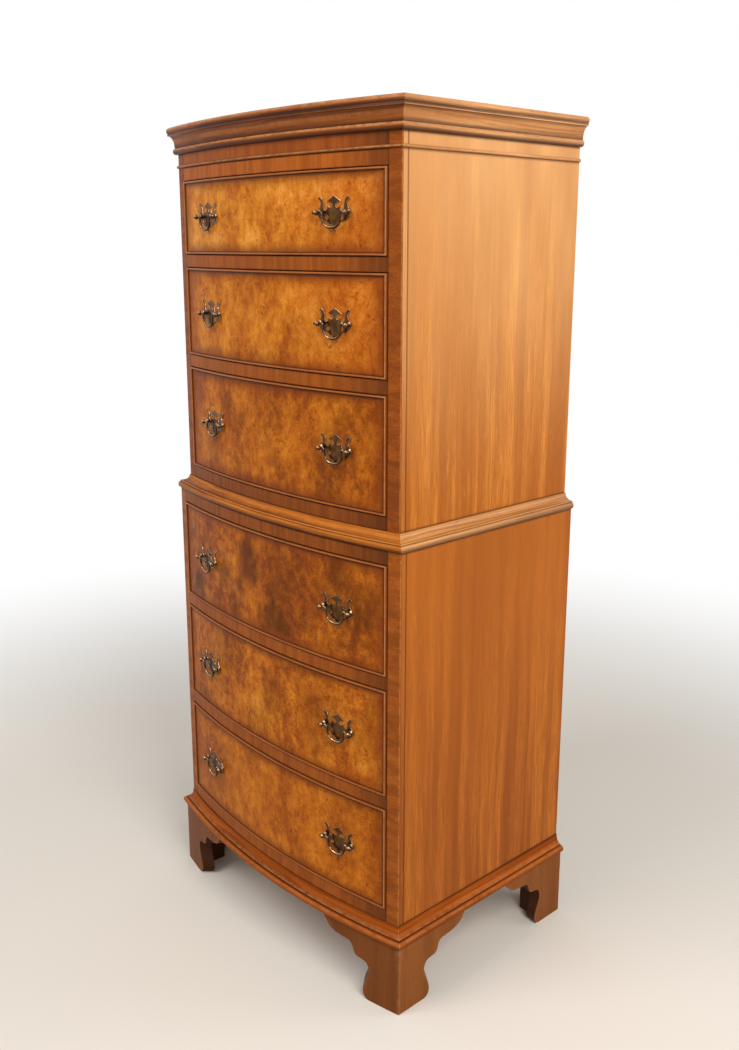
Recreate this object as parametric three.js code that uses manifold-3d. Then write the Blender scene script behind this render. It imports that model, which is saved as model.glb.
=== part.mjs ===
// A bow-fronted walnut chest on chest: three graduated drawers over three equal ones, each
// with two swan-neck handles. Millimetres, +Z up, and the front faces -Y.
// The origin is on the floor, under the middle of the outline.

import * as THREE from "three";
import { mergeVertices } from "three/addons/utils/BufferGeometryUtils.js";
import Module from "manifold-3d";

const wasm = await Module();
wasm.setup();

// Driving dimensions of the two cases
const caseHalfWidth = 290;
const caseDepth = 398.5;
const bowRadius = 1275;
const caseStep = 15;
const sideThickness = 23;
const railThickness = 21.5;
const upperDrawerHeights = [177.5, 149, 120.5];
const lowerDrawerHeight = 174.5;
const lowerDrawerCount = 3;
const lowerDrawerHeights = Array(lowerDrawerCount).fill(lowerDrawerHeight);
const backThickness = 6;
const backRebate = 10;
const topThickness = 18;
const friezeThickness = 20;

// Heights of the mouldings and what they frame
const footHeight = 120;
const baseHeight = 29.5;
const ledgeHeight = 12;
const lipHeight = 13;
const astragalHeight = 5;
const friezeHeight = 17.5;
const corniceHeight = 44.5;

// Clearances, and the length by which a cutting body overruns what it cuts
const glueGap = 0.3;
const liftGap = 0.5;
const drawerGap = 1;
const runnerGap = 0.3;
const overrun = 4;

// Facets along the bow between the side boards, on each quarter or half round of a moulding
// (twice this number) and on each stretch of a bracket
const bowFacets = 10;
const roundFacets = 2;
const bracketFacets = 3;

// Levels, from the floor up
const baseTop = footHeight + baseHeight;
const lowerTop = stackedTop(baseTop, lowerDrawerHeights);
const ledgeLevel = lowerTop + ledgeHeight;
const waistTop = ledgeLevel + lipHeight;
const upperTop = stackedTop(waistTop, upperDrawerHeights);
const friezeBottom = upperTop + astragalHeight;
const corniceBottom = friezeBottom + friezeHeight;
const corniceTop = corniceBottom + corniceHeight;
const topUnderside = corniceTop - topThickness;

// Every front face is an arc about one upright axis, in or out from the lower case's face
const bowCentreY = Math.sqrt(bowRadius ** 2 - caseHalfWidth ** 2) - caseDepth;
const upperFace = -caseStep;
const lowerFace = 0;

function stackedTop(bottom, drawerHeights) {
  let level = bottom + railThickness;
  for (const height of drawerHeights) {
    level += height + railThickness;
  }
  return level;
}

function frontY(x, face) {
  return bowCentreY - Math.sqrt((bowRadius + face) ** 2 - x ** 2);
}

function openingHalf(face) {
  return caseHalfWidth + face - sideThickness;
}

// Points along an arc of the front, from left to right
function frontArc(halfSpan, face) {
  const points = [];
  for (let i = 0; i <= bowFacets; i += 1) {
    const x = halfSpan * ((2 * i) / bowFacets - 1);
    points.push(new THREE.Vector2(x, frontY(x, face)));
  }
  return points;
}

// The same arc with the two corners of the case added
function cornerArc(face) {
  const half = caseHalfWidth + face;
  const middle = frontArc(openingHalf(face), face);
  const left = new THREE.Vector2(-half, frontY(half, face));
  const right = new THREE.Vector2(half, frontY(half, face));
  return [left, ...middle, right];
}

// Solid helpers
function upright(outline, bottom, top) {
  const shape = new THREE.Shape(outline);
  const geometry = new THREE.ExtrudeGeometry(shape, { depth: top - bottom, bevelEnabled: false });
  return geometry.translate(0, 0, bottom);
}

function toManifold(geometry) {
  const bare = geometry.clone();
  bare.deleteAttribute("normal");
  bare.deleteAttribute("uv");
  const merged = mergeVertices(bare);
  return new wasm.Manifold(new wasm.Mesh({
    numProp: 3,
    vertProperties: Float32Array.from(merged.attributes.position.array),
    triVerts: Uint32Array.from(merged.index.array),
  }));
}

function toGeometry(manifold) {
  const { vertProperties, triVerts } = manifold.getMesh();
  const geometry = new THREE.BufferGeometry();
  geometry.setAttribute("position", new THREE.BufferAttribute(Float32Array.from(vertProperties), 3));
  geometry.setIndex(new THREE.BufferAttribute(Uint32Array.from(triVerts), 1));
  geometry.computeVertexNormals();
  return geometry;
}

// A closed skin over rings of points that all run anticlockwise as the sweep looks back,
// with a flat cap on the first and the last ring. The flat outline sets the caps' triangles.
function ringSolid(rings, outline) {
  const count = outline.length;
  const indices = [];
  const capFaces = THREE.ShapeUtils.triangulateShape(outline, []);
  const lastStart = (rings.length - 1) * count;
  for (const [a, b, c] of capFaces) {
    indices.push(a, b, c);
    indices.push(lastStart + a, lastStart + c, lastStart + b);
  }
  for (let ring = 0; ring + 1 < rings.length; ring += 1) {
    for (let i = 0; i < count; i += 1) {
      const a = ring * count + i;
      const b = ring * count + ((i + 1) % count);
      indices.push(a, a + count, b + count);
      indices.push(a, b + count, b);
    }
  }
  const geometry = new THREE.BufferGeometry();
  geometry.setAttribute("position", new THREE.Float32BufferAttribute(rings.flat(2), 3));
  geometry.setIndex(indices);
  geometry.computeVertexNormals();
  return geometry;
}

// A moulding mitred round the front and both sides, and cut off square at the back. Its
// outline gives how far each point stands out from a face, and its height above a level.
function mitredMoulding(path, face, level) {
  const outline = path.getPoints(roundFacets);
  const back = (side) => outline.map((p) => [side * (caseHalfWidth + face + p.x), 0, level + p.y]);
  const rings = [back(-1)];
  for (const station of cornerArc(face)) {
    const share = station.x / (caseHalfWidth + face);
    rings.push(outline.map((p) => {
      const x = share * (caseHalfWidth + face + p.x);
      return [x, frontY(x, face + p.x), level + p.y];
    }));
  }
  rings.push(back(1));
  return ringSolid(rings, outline);
}

// Side boards: a rebate at the back holds the back panel, and the front edge follows the bow
function sideBoard(side, face, bottom, top) {
  const outer = caseHalfWidth + face;
  const inner = openingHalf(face);
  const rebate = inner + backRebate;
  const outline = [
    [inner, -backThickness],
    [rebate, -backThickness],
    [rebate, 0],
    [outer, 0],
    [outer, frontY(outer, face)],
    [inner, frontY(inner, face)],
  ].map(([x, y]) => new THREE.Vector2(side * x, y));
  return upright(outline, bottom, top);
}

// A rail and the dust board behind it, in one thickness
function dustBoard(face, bottom) {
  const half = openingHalf(face);
  const back = [new THREE.Vector2(half, -backThickness), new THREE.Vector2(-half, -backThickness)];
  return upright([...frontArc(half, face), ...back], bottom, bottom + railThickness);
}

function backPanel(face, bottom, top) {
  const width = 2 * (openingHalf(face) + backRebate - glueGap);
  const geometry = new THREE.BoxGeometry(width, backThickness, top - bottom);
  return geometry.translate(0, -backThickness / 2, (bottom + top) / 2);
}

// A bowed board of one thickness, cut from the front back to a smaller arc
function bowedBoard(halfSpan, face, thickness, bottom, top) {
  const inner = frontArc(halfSpan, face - thickness).reverse();
  return upright([...frontArc(halfSpan, face), ...inner], bottom, top);
}

function topBoard() {
  const half = caseHalfWidth + upperFace;
  const back = [new THREE.Vector2(half, 0), new THREE.Vector2(-half, 0)];
  return upright([...cornerArc(upperFace), ...back], topUnderside, corniceTop);
}

// Cornice: a roll, a deep cove, a fillet and a top bead
const corniceRollHeight = 11;
const corniceRollFoot = 2.5;
const corniceRollReach = 7.2;
const corniceCoveFoot = 4.5;
const corniceCoveHeight = 18.5;
const corniceCoveReach = 13.2;
const corniceFilletReach = 14.2;
const corniceFilletHeight = 4;
const corniceBeadReach = 15.5;

function corniceOutline() {
  const coveTop = corniceRollHeight + corniceCoveHeight;
  const filletTop = coveTop + corniceFilletHeight;
  const beadRadius = (corniceHeight - filletTop) / 2;
  const path = new THREE.Path();
  path.moveTo(glueGap, 0);
  path.lineTo(corniceRollFoot, 0);
  path.absellipse(corniceRollFoot, corniceRollHeight / 2, corniceRollReach - corniceRollFoot,
    corniceRollHeight / 2, -Math.PI / 2, Math.PI / 2);
  path.lineTo(corniceCoveFoot, corniceRollHeight);
  path.absellipse(corniceCoveReach, corniceRollHeight, corniceCoveReach - corniceCoveFoot,
    corniceCoveHeight, Math.PI, Math.PI / 2, true);
  path.lineTo(corniceFilletReach, coveTop);
  path.lineTo(corniceFilletReach, filletTop);
  path.absarc(corniceBeadReach - beadRadius, filletTop + beadRadius, beadRadius, -Math.PI / 4, Math.PI / 2);
  path.lineTo(glueGap, corniceHeight);
  return path;
}

// Astragal: a small half-round bead
const astragalReach = 2.6;

function astragalOutline() {
  const path = new THREE.Path();
  path.moveTo(glueGap, 0);
  path.absellipse(glueGap, astragalHeight / 2, astragalReach - glueGap, astragalHeight / 2,
    -Math.PI / 2, Math.PI / 2);
  return path;
}

// Waist frame: a roll below a cove, a lip round the foot of the upper chest, and the ledge
// on which that chest stands
const frameWidth = 45;
const waistRollHeight = 11.5;
const waistRollReach = 4.1;
const waistFilletReach = 0.8;
const waistFilletHeight = 2;
const lipThickness = 0.9;

function waistOutline() {
  const waistHeight = ledgeHeight + lipHeight;
  const coveFoot = waistRollHeight + waistFilletHeight;
  const lipInside = liftGap - caseStep;
  const path = new THREE.Path();
  path.moveTo(-frameWidth, 0);
  path.lineTo(0, 0);
  path.absellipse(0, waistRollHeight / 2, waistRollReach, waistRollHeight / 2, -Math.PI / 2, Math.PI / 2);
  path.lineTo(waistFilletReach, waistRollHeight);
  path.lineTo(waistFilletReach, coveFoot);
  path.absellipse(0, waistHeight, -lipInside - lipThickness, waistHeight - coveFoot,
    -Math.PI / 2, -Math.PI, true);
  path.lineTo(lipInside, waistHeight);
  path.lineTo(lipInside, ledgeHeight);
  path.lineTo(-frameWidth, ledgeHeight);
  return path;
}

// Base frame: a bold roll below a cove, under the edge of the lower case
const baseRollFoot = 11.5;
const baseRollReach = 17;
const baseRollHeight = 14.4;
const baseQuirkReach = 9.5;
const baseQuirkHeight = 1.6;
const baseCoveReach = 0.8;

function baseOutline() {
  const coveFoot = baseRollHeight + baseQuirkHeight;
  const path = new THREE.Path();
  path.moveTo(-frameWidth, 0);
  path.lineTo(baseRollFoot, 0);
  path.absellipse(baseRollFoot, baseRollHeight / 2, baseRollReach - baseRollFoot, baseRollHeight / 2,
    -Math.PI / 2, Math.PI / 2);
  path.lineTo(baseQuirkReach, baseRollHeight);
  path.lineTo(baseQuirkReach, coveFoot);
  path.absellipse(baseQuirkReach, baseHeight, baseQuirkReach - baseCoveReach, baseHeight - coveFoot,
    -Math.PI / 2, -Math.PI, true);
  path.lineTo(-frameWidth, baseHeight);
  return path;
}

// Bracket feet. One scrolled outline serves every bracket: a bulging toe, a drawn-in neck,
// and two steps out to the wing under the base frame. Its points are shares of the bracket's
// length and of the foot's height.
const footReach = 11;
const bracketLength = 152;
const bracketThickness = 20;
const footBlockWidth = 30;
const footBlockLift = 2;
const bracketCurveShares = [
  [[0.44, 0.01], [0.47, 0.1], [0.44, 0.2]],
  [[0.41, 0.32], [0.33, 0.44], [0.4, 0.56]],
  [[0.43, 0.6], [0.47, 0.58], [0.53, 0.59]],
  [[0.59, 0.61], [0.57, 0.75], [0.63, 0.78]],
  [[0.7, 0.8], [0.75, 0.78], [0.83, 0.81]],
  [[0.93, 0.84], [0.96, 0.9], [1, 1]],
];
const bracketToeShare = 0.38;

function bracketShape() {
  const shape = new THREE.Shape();
  const place = ([u, v]) => [u * bracketLength, v * footHeight];
  shape.moveTo(0, 0);
  shape.lineTo(bracketToeShare * bracketLength, 0);
  for (const curve of bracketCurveShares) {
    shape.bezierCurveTo(...curve.flatMap(place));
  }
  shape.lineTo(0, footHeight);
  return shape;
}

// A cutting body: the bracket's outline, upright, with its length along +X and its
// thickness along -Y from the axis
function bracketCutter(thickness) {
  const options = { depth: thickness, bevelEnabled: false, curveSegments: bracketFacets };
  const geometry = new THREE.ExtrudeGeometry(bracketShape(), options);
  return geometry.rotateX(Math.PI / 2);
}

// A side bracket runs back from a front corner, or forward from a rear one
function sideBracket(cornerY, direction) {
  const outer = caseHalfWidth + footReach;
  const cutter = bracketCutter(bracketThickness).rotateZ((direction * Math.PI) / 2);
  const x = direction > 0 ? outer - bracketThickness : outer;
  return toManifold(cutter.translate(x, cornerY, 0));
}

// Front bracket: the scrolled outline cut through a band that follows the bow
function frontBracket() {
  const outer = caseHalfWidth + footReach;
  const xs = [];
  for (let i = 0; i <= bracketFacets; i += 1) {
    xs.push(outer - (bracketLength * i) / bracketFacets);
  }
  const outside = xs.map((x) => new THREE.Vector2(x, frontY(x, footReach)));
  const inside = xs.map((x) => new THREE.Vector2(x, frontY(x, footReach - bracketThickness)));
  const band = toManifold(upright([...outside, ...inside.reverse()], 0, footHeight));
  const reach = caseDepth + bowRadius;
  const cutter = bracketCutter(reach).rotateZ(Math.PI).translate(outer, -reach, 0);
  return band.intersect(toManifold(cutter));
}

// The side bracket's front end, mitred into the front bracket
function footCorner() {
  const outer = caseHalfWidth + footReach;
  const inner = outer - bracketThickness;
  const outline = [
    new THREE.Vector2(outer, frontY(outer, footReach)),
    new THREE.Vector2(outer, frontY(inner, footReach) + bracketThickness),
    new THREE.Vector2(inner, frontY(inner, footReach) + bracketThickness),
    new THREE.Vector2(inner, frontY(inner, footReach)),
  ];
  return toManifold(upright(outline, 0, footHeight));
}

function footBlock(cornerY, direction) {
  const outer = caseHalfWidth + footReach - bracketThickness;
  const geometry = new THREE.BoxGeometry(footBlockWidth, footBlockWidth, footHeight - footBlockLift);
  const y = cornerY + direction * (bracketThickness + footBlockWidth / 2);
  return toManifold(geometry.translate(outer - footBlockWidth / 2, y, (footHeight + footBlockLift) / 2));
}

// A rear foot's back bracket is a plain tapered board, square to the side
const backBracketShare = 0.75;

function backBracket() {
  const outer = caseHalfWidth + footReach;
  const shape = new THREE.Shape();
  shape.moveTo(0, 0);
  shape.lineTo(bracketToeShare * bracketLength, 0);
  shape.lineTo(backBracketShare * bracketLength, footHeight);
  shape.lineTo(0, footHeight);
  const geometry = new THREE.ExtrudeGeometry(shape, { depth: bracketThickness, bevelEnabled: false });
  geometry.rotateX(Math.PI / 2).rotateZ(Math.PI).translate(outer, -bracketThickness, 0);
  return toManifold(geometry);
}

function foot(side, atFront) {
  const outer = caseHalfWidth + footReach;
  let body;
  if (atFront) {
    const cornerY = frontY(outer, footReach);
    body = frontBracket().add(footCorner()).add(sideBracket(cornerY, 1)).add(footBlock(cornerY, 1));
  } else {
    body = backBracket().add(sideBracket(0, -1)).add(footBlock(0, -1));
  }
  const turned = side < 0 ? body.mirror([1, 0, 0]) : body;
  return toGeometry(turned);
}

// Handles, drawn flat on the drawer face: X along the face, Z up, and -Y out of it. The
// middle between the two posts is at zero.
const postReach = 28.5;
const plateHalfWidth = 31.2;
const plateRise = 23.5;
const plateThickness = 1.6;
const piercingRadius = 3.8;
const piercingReach = 14.8;
const piercingDrop = 6.5;
const pivotStand = 8.8;
const pinRadius = 1.3;
const pinGap = 0.3;
const shankRadius = 2.2;
const shankGap = 0.5;
const headRadius = 4.2;
const headLength = 4;
const nutRadius = 5;
const nutThickness = 3.5;
const nutGap = 0.9;
const frontThickness = 20;
const handleSides = 6;

// The right half of the batwing plate, from the tip down, as shares of its half width and
// of its rise above the posts
const plateHalfShares = [
  [0, 1],
  [0.41, 0.65],
  [0.22, 0.63],
  [0.09, 0.48],
  [0.12, 0.28],
  [0.23, 0.22],
  [0.37, 0.42],
  [0.43, 0.14],
  [0.6, 0.08],
  [0.71, 0.36],
  [0.77, 0.67],
  [0.92, 0.88],
  [0.88, 0.48],
  [1, 0.02],
  [0.94, -0.34],
  [0.75, -0.5],
  [0.34, -0.6],
  [0.14, -0.82],
  [0, -1.13],
];

function plateShape() {
  const right = plateHalfShares.map(([u, v]) => new THREE.Vector2(u * plateHalfWidth, v * plateRise));
  const left = right.slice(1, -1).reverse().map((p) => new THREE.Vector2(-p.x, p.y));
  const shape = new THREE.Shape([...right, ...left]);
  for (const side of [-1, 1]) {
    const hole = [];
    for (let i = 0; i < handleSides; i += 1) {
      const turn = (2 * Math.PI * i) / handleSides;
      const x = side * piercingReach + piercingRadius * Math.cos(turn);
      hole.push(new THREE.Vector2(x, piercingRadius * Math.sin(turn) - piercingDrop));
    }
    shape.holes.push(new THREE.Path(hole));
  }
  return shape;
}

// A post: nut and shank inside the drawer front, a waist in front of the plate, and a round
// head. The profile runs out along the post as pairs of radius and stand.
function post() {
  const nutFace = -frontThickness - nutGap;
  const headBack = pivotStand - headLength / 2;
  const headFront = pivotStand + headLength / 2;
  const profile = [
    [0, nutFace - nutThickness],
    [nutRadius, nutFace - nutThickness],
    [nutRadius, nutFace],
    [shankRadius, nutFace],
    [shankRadius, headBack - headLength / 2],
    [headRadius, headBack],
    [headRadius, headFront],
    [0, headFront + headLength / 2],
  ].map(([radius, stand]) => new THREE.Vector2(radius, stand));
  const body = toManifold(new THREE.LatheGeometry(profile, handleSides).rotateX(Math.PI));
  const boreRadius = (pinRadius + pinGap) / Math.cos(Math.PI / handleSides);
  const length = 2 * (headRadius + overrun);
  const bore = new THREE.CylinderGeometry(boreRadius, boreRadius, length, handleSides);
  return body.subtract(toManifold(bore.rotateZ(Math.PI / 2).translate(0, -pivotStand, 0)));
}

function backPlate() {
  const options = { depth: plateThickness, bevelEnabled: false };
  const sheet = new THREE.ExtrudeGeometry(plateShape(), options).rotateX(Math.PI / 2);
  let body = toManifold(sheet.translate(0, -glueGap, 0));
  const single = post();
  for (const side of [-1, 1]) {
    body = body.add(single.translate([side * postReach, 0, 0]));
  }
  return toGeometry(body);
}

// A bail: its pins pass out through the two heads and end in small buttons. Inside the heads
// the necks rise and turn down into the arms. Each row is reach, height and radius.
const buttonRadius = 2.2;
const buttonLength = 2.4;
const neckReach = 21.8;
const neckRise = 2.2;
const neckRadius = 1.4;
const armReach = 17.3;
const armRadius = 1.6;
const bailDrop = 20.5;
const gripRadius = 2;
const bailSides = 5;

function bail() {
  const buttonFoot = postReach + headRadius + pinGap;
  const half = [
    [buttonFoot + buttonLength, 0, pinRadius],
    [buttonFoot + buttonLength / 2, 0, buttonRadius],
    [buttonFoot, 0, pinRadius],
    [postReach - headRadius - pinGap, 0, pinRadius],
    [neckReach, neckRise, neckRadius],
    [(neckReach + armReach) / 2, neckRise / 2, neckRadius],
    [armReach, -bailDrop / 4, armRadius],
    [armReach, -bailDrop / 2, armRadius],
    [armReach * Math.cos(Math.PI / 4), -bailDrop * Math.cos(Math.PI / 8), gripRadius],
    [armReach / 3, -bailDrop, gripRadius],
  ];
  const mirrored = half.map(([x, z, radius]) => [-x, z, radius]).reverse();
  const row = [...half, ...mirrored];
  const rings = row.map(([x, z, radius], index) => {
    const before = row[Math.max(index - 1, 0)];
    const after = row[Math.min(index + 1, row.length - 1)];
    const along = new THREE.Vector2(after[0] - before[0], after[1] - before[1]).normalize();
    const ring = [];
    for (let i = 0; i < bailSides; i += 1) {
      const turn = (2 * Math.PI * i) / bailSides;
      const across = radius * Math.cos(turn);
      ring.push([x - along.y * across, radius * Math.sin(turn) - pivotStand, z + along.x * across]);
    }
    return ring;
  });
  const outline = [];
  for (let i = 0; i < bailSides; i += 1) {
    const turn = (2 * Math.PI * i) / bailSides;
    outline.push(new THREE.Vector2(Math.cos(turn), Math.sin(turn)));
  }
  return ringSolid(rings, outline);
}

// Drawer fronts: a bowed board with a raised cockbead round its edge, bored for the posts
const beadWidth = 3;
const beadStand = 2.5;
const upperHandleReach = 158;
const lowerHandleReach = 174;

function handlePlaces(face) {
  const reach = face === upperFace ? upperHandleReach : lowerHandleReach;
  return [-reach, reach].map((x) => ({
    x,
    y: frontY(x, face),
    turn: Math.asin(x / (bowRadius + face)),
  }));
}

function drawerFront(face, bottom, height) {
  const half = openingHalf(face) - drawerGap;
  const low = bottom + drawerGap;
  const high = bottom + height - drawerGap;
  const block = bowedBoard(half, face + beadStand, beadStand + frontThickness, low, high);
  const recess = bowedBoard(half - beadWidth, face + beadStand + overrun, beadStand + overrun,
    low + beadWidth, high - beadWidth);
  let body = toManifold(block).subtract(toManifold(recess));
  const boreRadius = shankRadius + shankGap;
  const boreLength = 2 * (frontThickness + overrun);
  for (const place of handlePlaces(face)) {
    for (const side of [-1, 1]) {
      const bore = new THREE.CylinderGeometry(boreRadius, boreRadius, boreLength, handleSides);
      bore.translate(side * postReach, 0, 0).rotateZ(place.turn);
      body = body.subtract(toManifold(bore.translate(place.x, place.y, bottom + height / 2)));
    }
  }
  return toGeometry(body);
}

// Drawer boxes: two sides, a back and a bottom let in above their lower edges
const liningThickness = 10;
const drawerBottomThickness = 6;
const drawerBottomLift = 7;
const drawerHeadroom = 9;
const drawerBackGap = 14;

function drawerBox(face, bottom, height) {
  const half = openingHalf(face) - drawerGap;
  const frontFace = face - frontThickness - glueGap;
  const backY = -backThickness - drawerBackGap;
  const low = bottom + runnerGap;
  const high = bottom + height - drawerHeadroom;
  const floorLow = low + drawerBottomLift;
  const floorHigh = floorLow + drawerBottomThickness;
  const plan = (halfSpan, front, back) => [
    ...frontArc(halfSpan, front),
    new THREE.Vector2(halfSpan, back),
    new THREE.Vector2(-halfSpan, back),
  ];
  const block = upright(plan(half, frontFace, backY), low, high);
  const hollowPlan = plan(half - liningThickness, frontFace + overrun, backY - liningThickness);
  const hollow = upright(hollowPlan, floorHigh, high + overrun);
  const recess = upright(hollowPlan, low - overrun, floorLow);
  const body = toManifold(block).subtract(toManifold(hollow)).subtract(toManifold(recess));
  return toGeometry(body);
}

// Finishes
function finish(color, roughness, metalness = 0) {
  return () => new THREE.MeshStandardMaterial({ color, roughness, metalness });
}
const burrWalnut = finish(0xa85f22, 0.35);
const crossbandedWalnut = finish(0x8a4a1e, 0.4);
const sideWalnut = finish(0xb06a2a, 0.4);
const mouldingWalnut = finish(0x9c5c28, 0.35);
const liningWood = finish(0xc9a878, 0.6);
const backWood = finish(0x9a7a50, 0.7);
const agedBrass = finish(0x6a5a34, 0.4, 0.9);

// Assembly
const chest = new THREE.Group();
const outlineDepth = -frontY(0, baseRollReach);
chest.position.y = outlineDepth / 2;

function addPiece(name, geometry, material, parent = chest) {
  const mesh = new THREE.Mesh(geometry, material());
  mesh.name = name;
  parent.add(mesh);
}

function addCase(label, face, bottom, top, railBottom, drawerHeights) {
  addPiece(`${label}_side_left`, sideBoard(-1, face, bottom, top), sideWalnut);
  addPiece(`${label}_side_right`, sideBoard(1, face, bottom, top), sideWalnut);
  addPiece(`${label}_back_panel`, backPanel(face, bottom, top), backWood);
  const names = ["bottom_board", "divider_low", "divider_high", "top_rail"];
  let level = railBottom;
  names.forEach((name, index) => {
    addPiece(`${label}_${name}`, dustBoard(face, level), crossbandedWalnut);
    level += railThickness + (drawerHeights[index] ?? 0);
  });
}

addCase("lower", lowerFace, baseTop, lowerTop, baseTop, lowerDrawerHeights);
addCase("upper", upperFace, ledgeLevel, topUnderside, waistTop, upperDrawerHeights);
addPiece("frieze_board", bowedBoard(openingHalf(upperFace), upperFace, friezeThickness, upperTop, topUnderside),
  crossbandedWalnut);
addPiece("top_board", topBoard(), sideWalnut);
addPiece("cornice", mitredMoulding(corniceOutline(), upperFace, corniceBottom), mouldingWalnut);
addPiece("astragal", mitredMoulding(astragalOutline(), upperFace, upperTop), mouldingWalnut);
addPiece("waist_moulding", mitredMoulding(waistOutline(), lowerFace, lowerTop), mouldingWalnut);
addPiece("base_moulding", mitredMoulding(baseOutline(), lowerFace, footHeight), mouldingWalnut);
addPiece("foot_front_left", foot(-1, true), mouldingWalnut);
addPiece("foot_front_right", foot(1, true), mouldingWalnut);
addPiece("foot_rear_left", foot(-1, false), mouldingWalnut);
addPiece("foot_rear_right", foot(1, false), mouldingWalnut);

// A drawer with its two handles. Drawers are numbered from the top of the chest down.
function addDrawer(number, face, bottom, height) {
  addPiece(`drawer_${number}_front`, drawerFront(face, bottom, height), burrWalnut);
  addPiece(`drawer_${number}_box`, drawerBox(face, bottom, height), liningWood);
  handlePlaces(face).forEach((place, index) => {
    const hand = ["left", "right"][index];
    const handle = new THREE.Group();
    handle.position.set(place.x, place.y, bottom + height / 2);
    handle.rotation.z = place.turn;
    chest.add(handle);
    addPiece(`drawer_${number}_plate_${hand}`, backPlate(), agedBrass, handle);
    addPiece(`drawer_${number}_bail_${hand}`, bail(), agedBrass, handle);
  });
}

function addDrawers(face, railBottom, heights, firstNumber) {
  let level = railBottom + railThickness;
  heights.forEach((height, index) => {
    addDrawer(firstNumber - index, face, level, height);
    level += height + railThickness;
  });
}

addDrawers(lowerFace, baseTop, lowerDrawerHeights, lowerDrawerHeights.length + upperDrawerHeights.length);
addDrawers(upperFace, waistTop, upperDrawerHeights, upperDrawerHeights.length);

export default chest;
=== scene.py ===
# A bow-fronted walnut chest on chest, dressed round its packed construction model.
# Metres, +Z up, and the drawer fronts face -Y.
import math

import bmesh
import bpy
from mathutils import Matrix, Vector


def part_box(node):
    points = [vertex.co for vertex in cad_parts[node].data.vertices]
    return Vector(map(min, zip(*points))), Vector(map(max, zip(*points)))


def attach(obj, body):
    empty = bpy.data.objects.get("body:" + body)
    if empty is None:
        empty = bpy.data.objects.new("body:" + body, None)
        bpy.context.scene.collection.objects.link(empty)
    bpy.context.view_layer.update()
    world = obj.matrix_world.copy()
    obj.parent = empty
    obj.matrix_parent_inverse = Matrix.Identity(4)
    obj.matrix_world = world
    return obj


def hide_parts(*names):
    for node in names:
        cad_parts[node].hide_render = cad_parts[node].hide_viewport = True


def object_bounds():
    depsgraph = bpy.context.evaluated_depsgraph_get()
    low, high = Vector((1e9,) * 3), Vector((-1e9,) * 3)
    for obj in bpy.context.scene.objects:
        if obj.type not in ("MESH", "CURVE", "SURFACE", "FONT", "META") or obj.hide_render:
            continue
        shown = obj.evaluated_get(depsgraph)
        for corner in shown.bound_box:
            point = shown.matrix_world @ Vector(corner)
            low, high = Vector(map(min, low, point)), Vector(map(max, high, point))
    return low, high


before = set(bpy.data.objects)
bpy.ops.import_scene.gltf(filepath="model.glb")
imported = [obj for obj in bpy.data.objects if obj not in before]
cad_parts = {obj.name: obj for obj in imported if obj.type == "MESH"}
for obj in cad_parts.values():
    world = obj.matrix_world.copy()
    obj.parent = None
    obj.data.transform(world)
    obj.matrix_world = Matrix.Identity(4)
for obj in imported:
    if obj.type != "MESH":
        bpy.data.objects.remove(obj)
cad_low, cad_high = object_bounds()
scene = bpy.context.scene


# The camera. It stands off the right front corner, a little below the cornice. Its place,
# its turn and its lens were found from the corners of the two cases in the photograph.
photo_long_side = 1050
photo_centre = (369.5, 525)
optical_centre = (367, 491.9)
focal_length = 1044.2
sensor_width = 36
camera_place = (1.3210, -1.1756, 1.1899)
camera_yaw = 0.83398
camera_pitch = -0.23179

camera = bpy.data.cameras.new("camera")
camera.sensor_width = sensor_width
camera.lens = focal_length / photo_long_side * sensor_width
camera.shift_x = (photo_centre[0] - optical_centre[0]) / photo_long_side
camera.shift_y = (optical_centre[1] - photo_centre[1]) / photo_long_side
viewer = bpy.data.objects.new("camera", camera)
viewer.location = camera_place
viewer.rotation_euler = (math.pi / 2 + camera_pitch, 0, camera_yaw)
scene.collection.objects.link(viewer)
scene.camera = viewer


# The studio: a plain pale floor that runs out to white, a white surround, a large soft lamp
# high on the right, a weaker one in front, and a faint one behind on the right that puts a
# sheen on the side. The floor keeps the chest's shadow.
floor_half = 9
floor_colour = (0.80, 0.76, 0.70, 1)
shadow_radius = 0.75
white_radius = 2.3
surround_light = (1.0, 0.99, 0.97, 1)
surround_strength = 0.42
lamp_target = Vector((0, 0, 0.75))


def add_node(tree, kind, inputs=None, **settings):
    """Adds a node with its settings, and sets or links its inputs by name or number."""
    node = tree.nodes.new(kind)
    for name, value in settings.items():
        setattr(node, name, value)
    for name, value in (inputs or {}).items():
        socket = node.inputs[name]
        if isinstance(value, bpy.types.NodeSocket):
            tree.links.new(value, socket)
        else:
            socket.default_value = value
    return node


def calculate(tree, operation, first, second=0.0, clamp=False):
    """The output of a Math node on one or two values."""
    inputs = {0: first, 1: second}
    return add_node(tree, "ShaderNodeMath", inputs, operation=operation, use_clamp=clamp).outputs[0]


def times(tree, first, second, clamp=False):
    """The product of two values."""
    return calculate(tree, "MULTIPLY", first, second, clamp)


def plus(tree, first, second, clamp=False):
    """The sum of two values."""
    return calculate(tree, "ADD", first, second, clamp)


def spread(tree, value, low, high, to_low=0.0, to_high=1.0):
    """Spreads value, from low to high, smoothly over another range."""
    inputs = {"Value": value, "From Min": low, "From Max": high, "To Min": to_low, "To Max": to_high}
    return add_node(tree, "ShaderNodeMapRange", inputs, interpolation_type="SMOOTHSTEP").outputs[0]


def scaled(tree, vector, x, y, z):
    """The vector with its three lengths scaled."""
    inputs = {0: vector, 1: (x, y, z)}
    return add_node(tree, "ShaderNodeVectorMath", inputs, operation="MULTIPLY").outputs[0]


def own_place(tree):
    """Where each point lies in its object's own space."""
    return add_node(tree, "ShaderNodeTexCoord").outputs["Object"]


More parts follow.
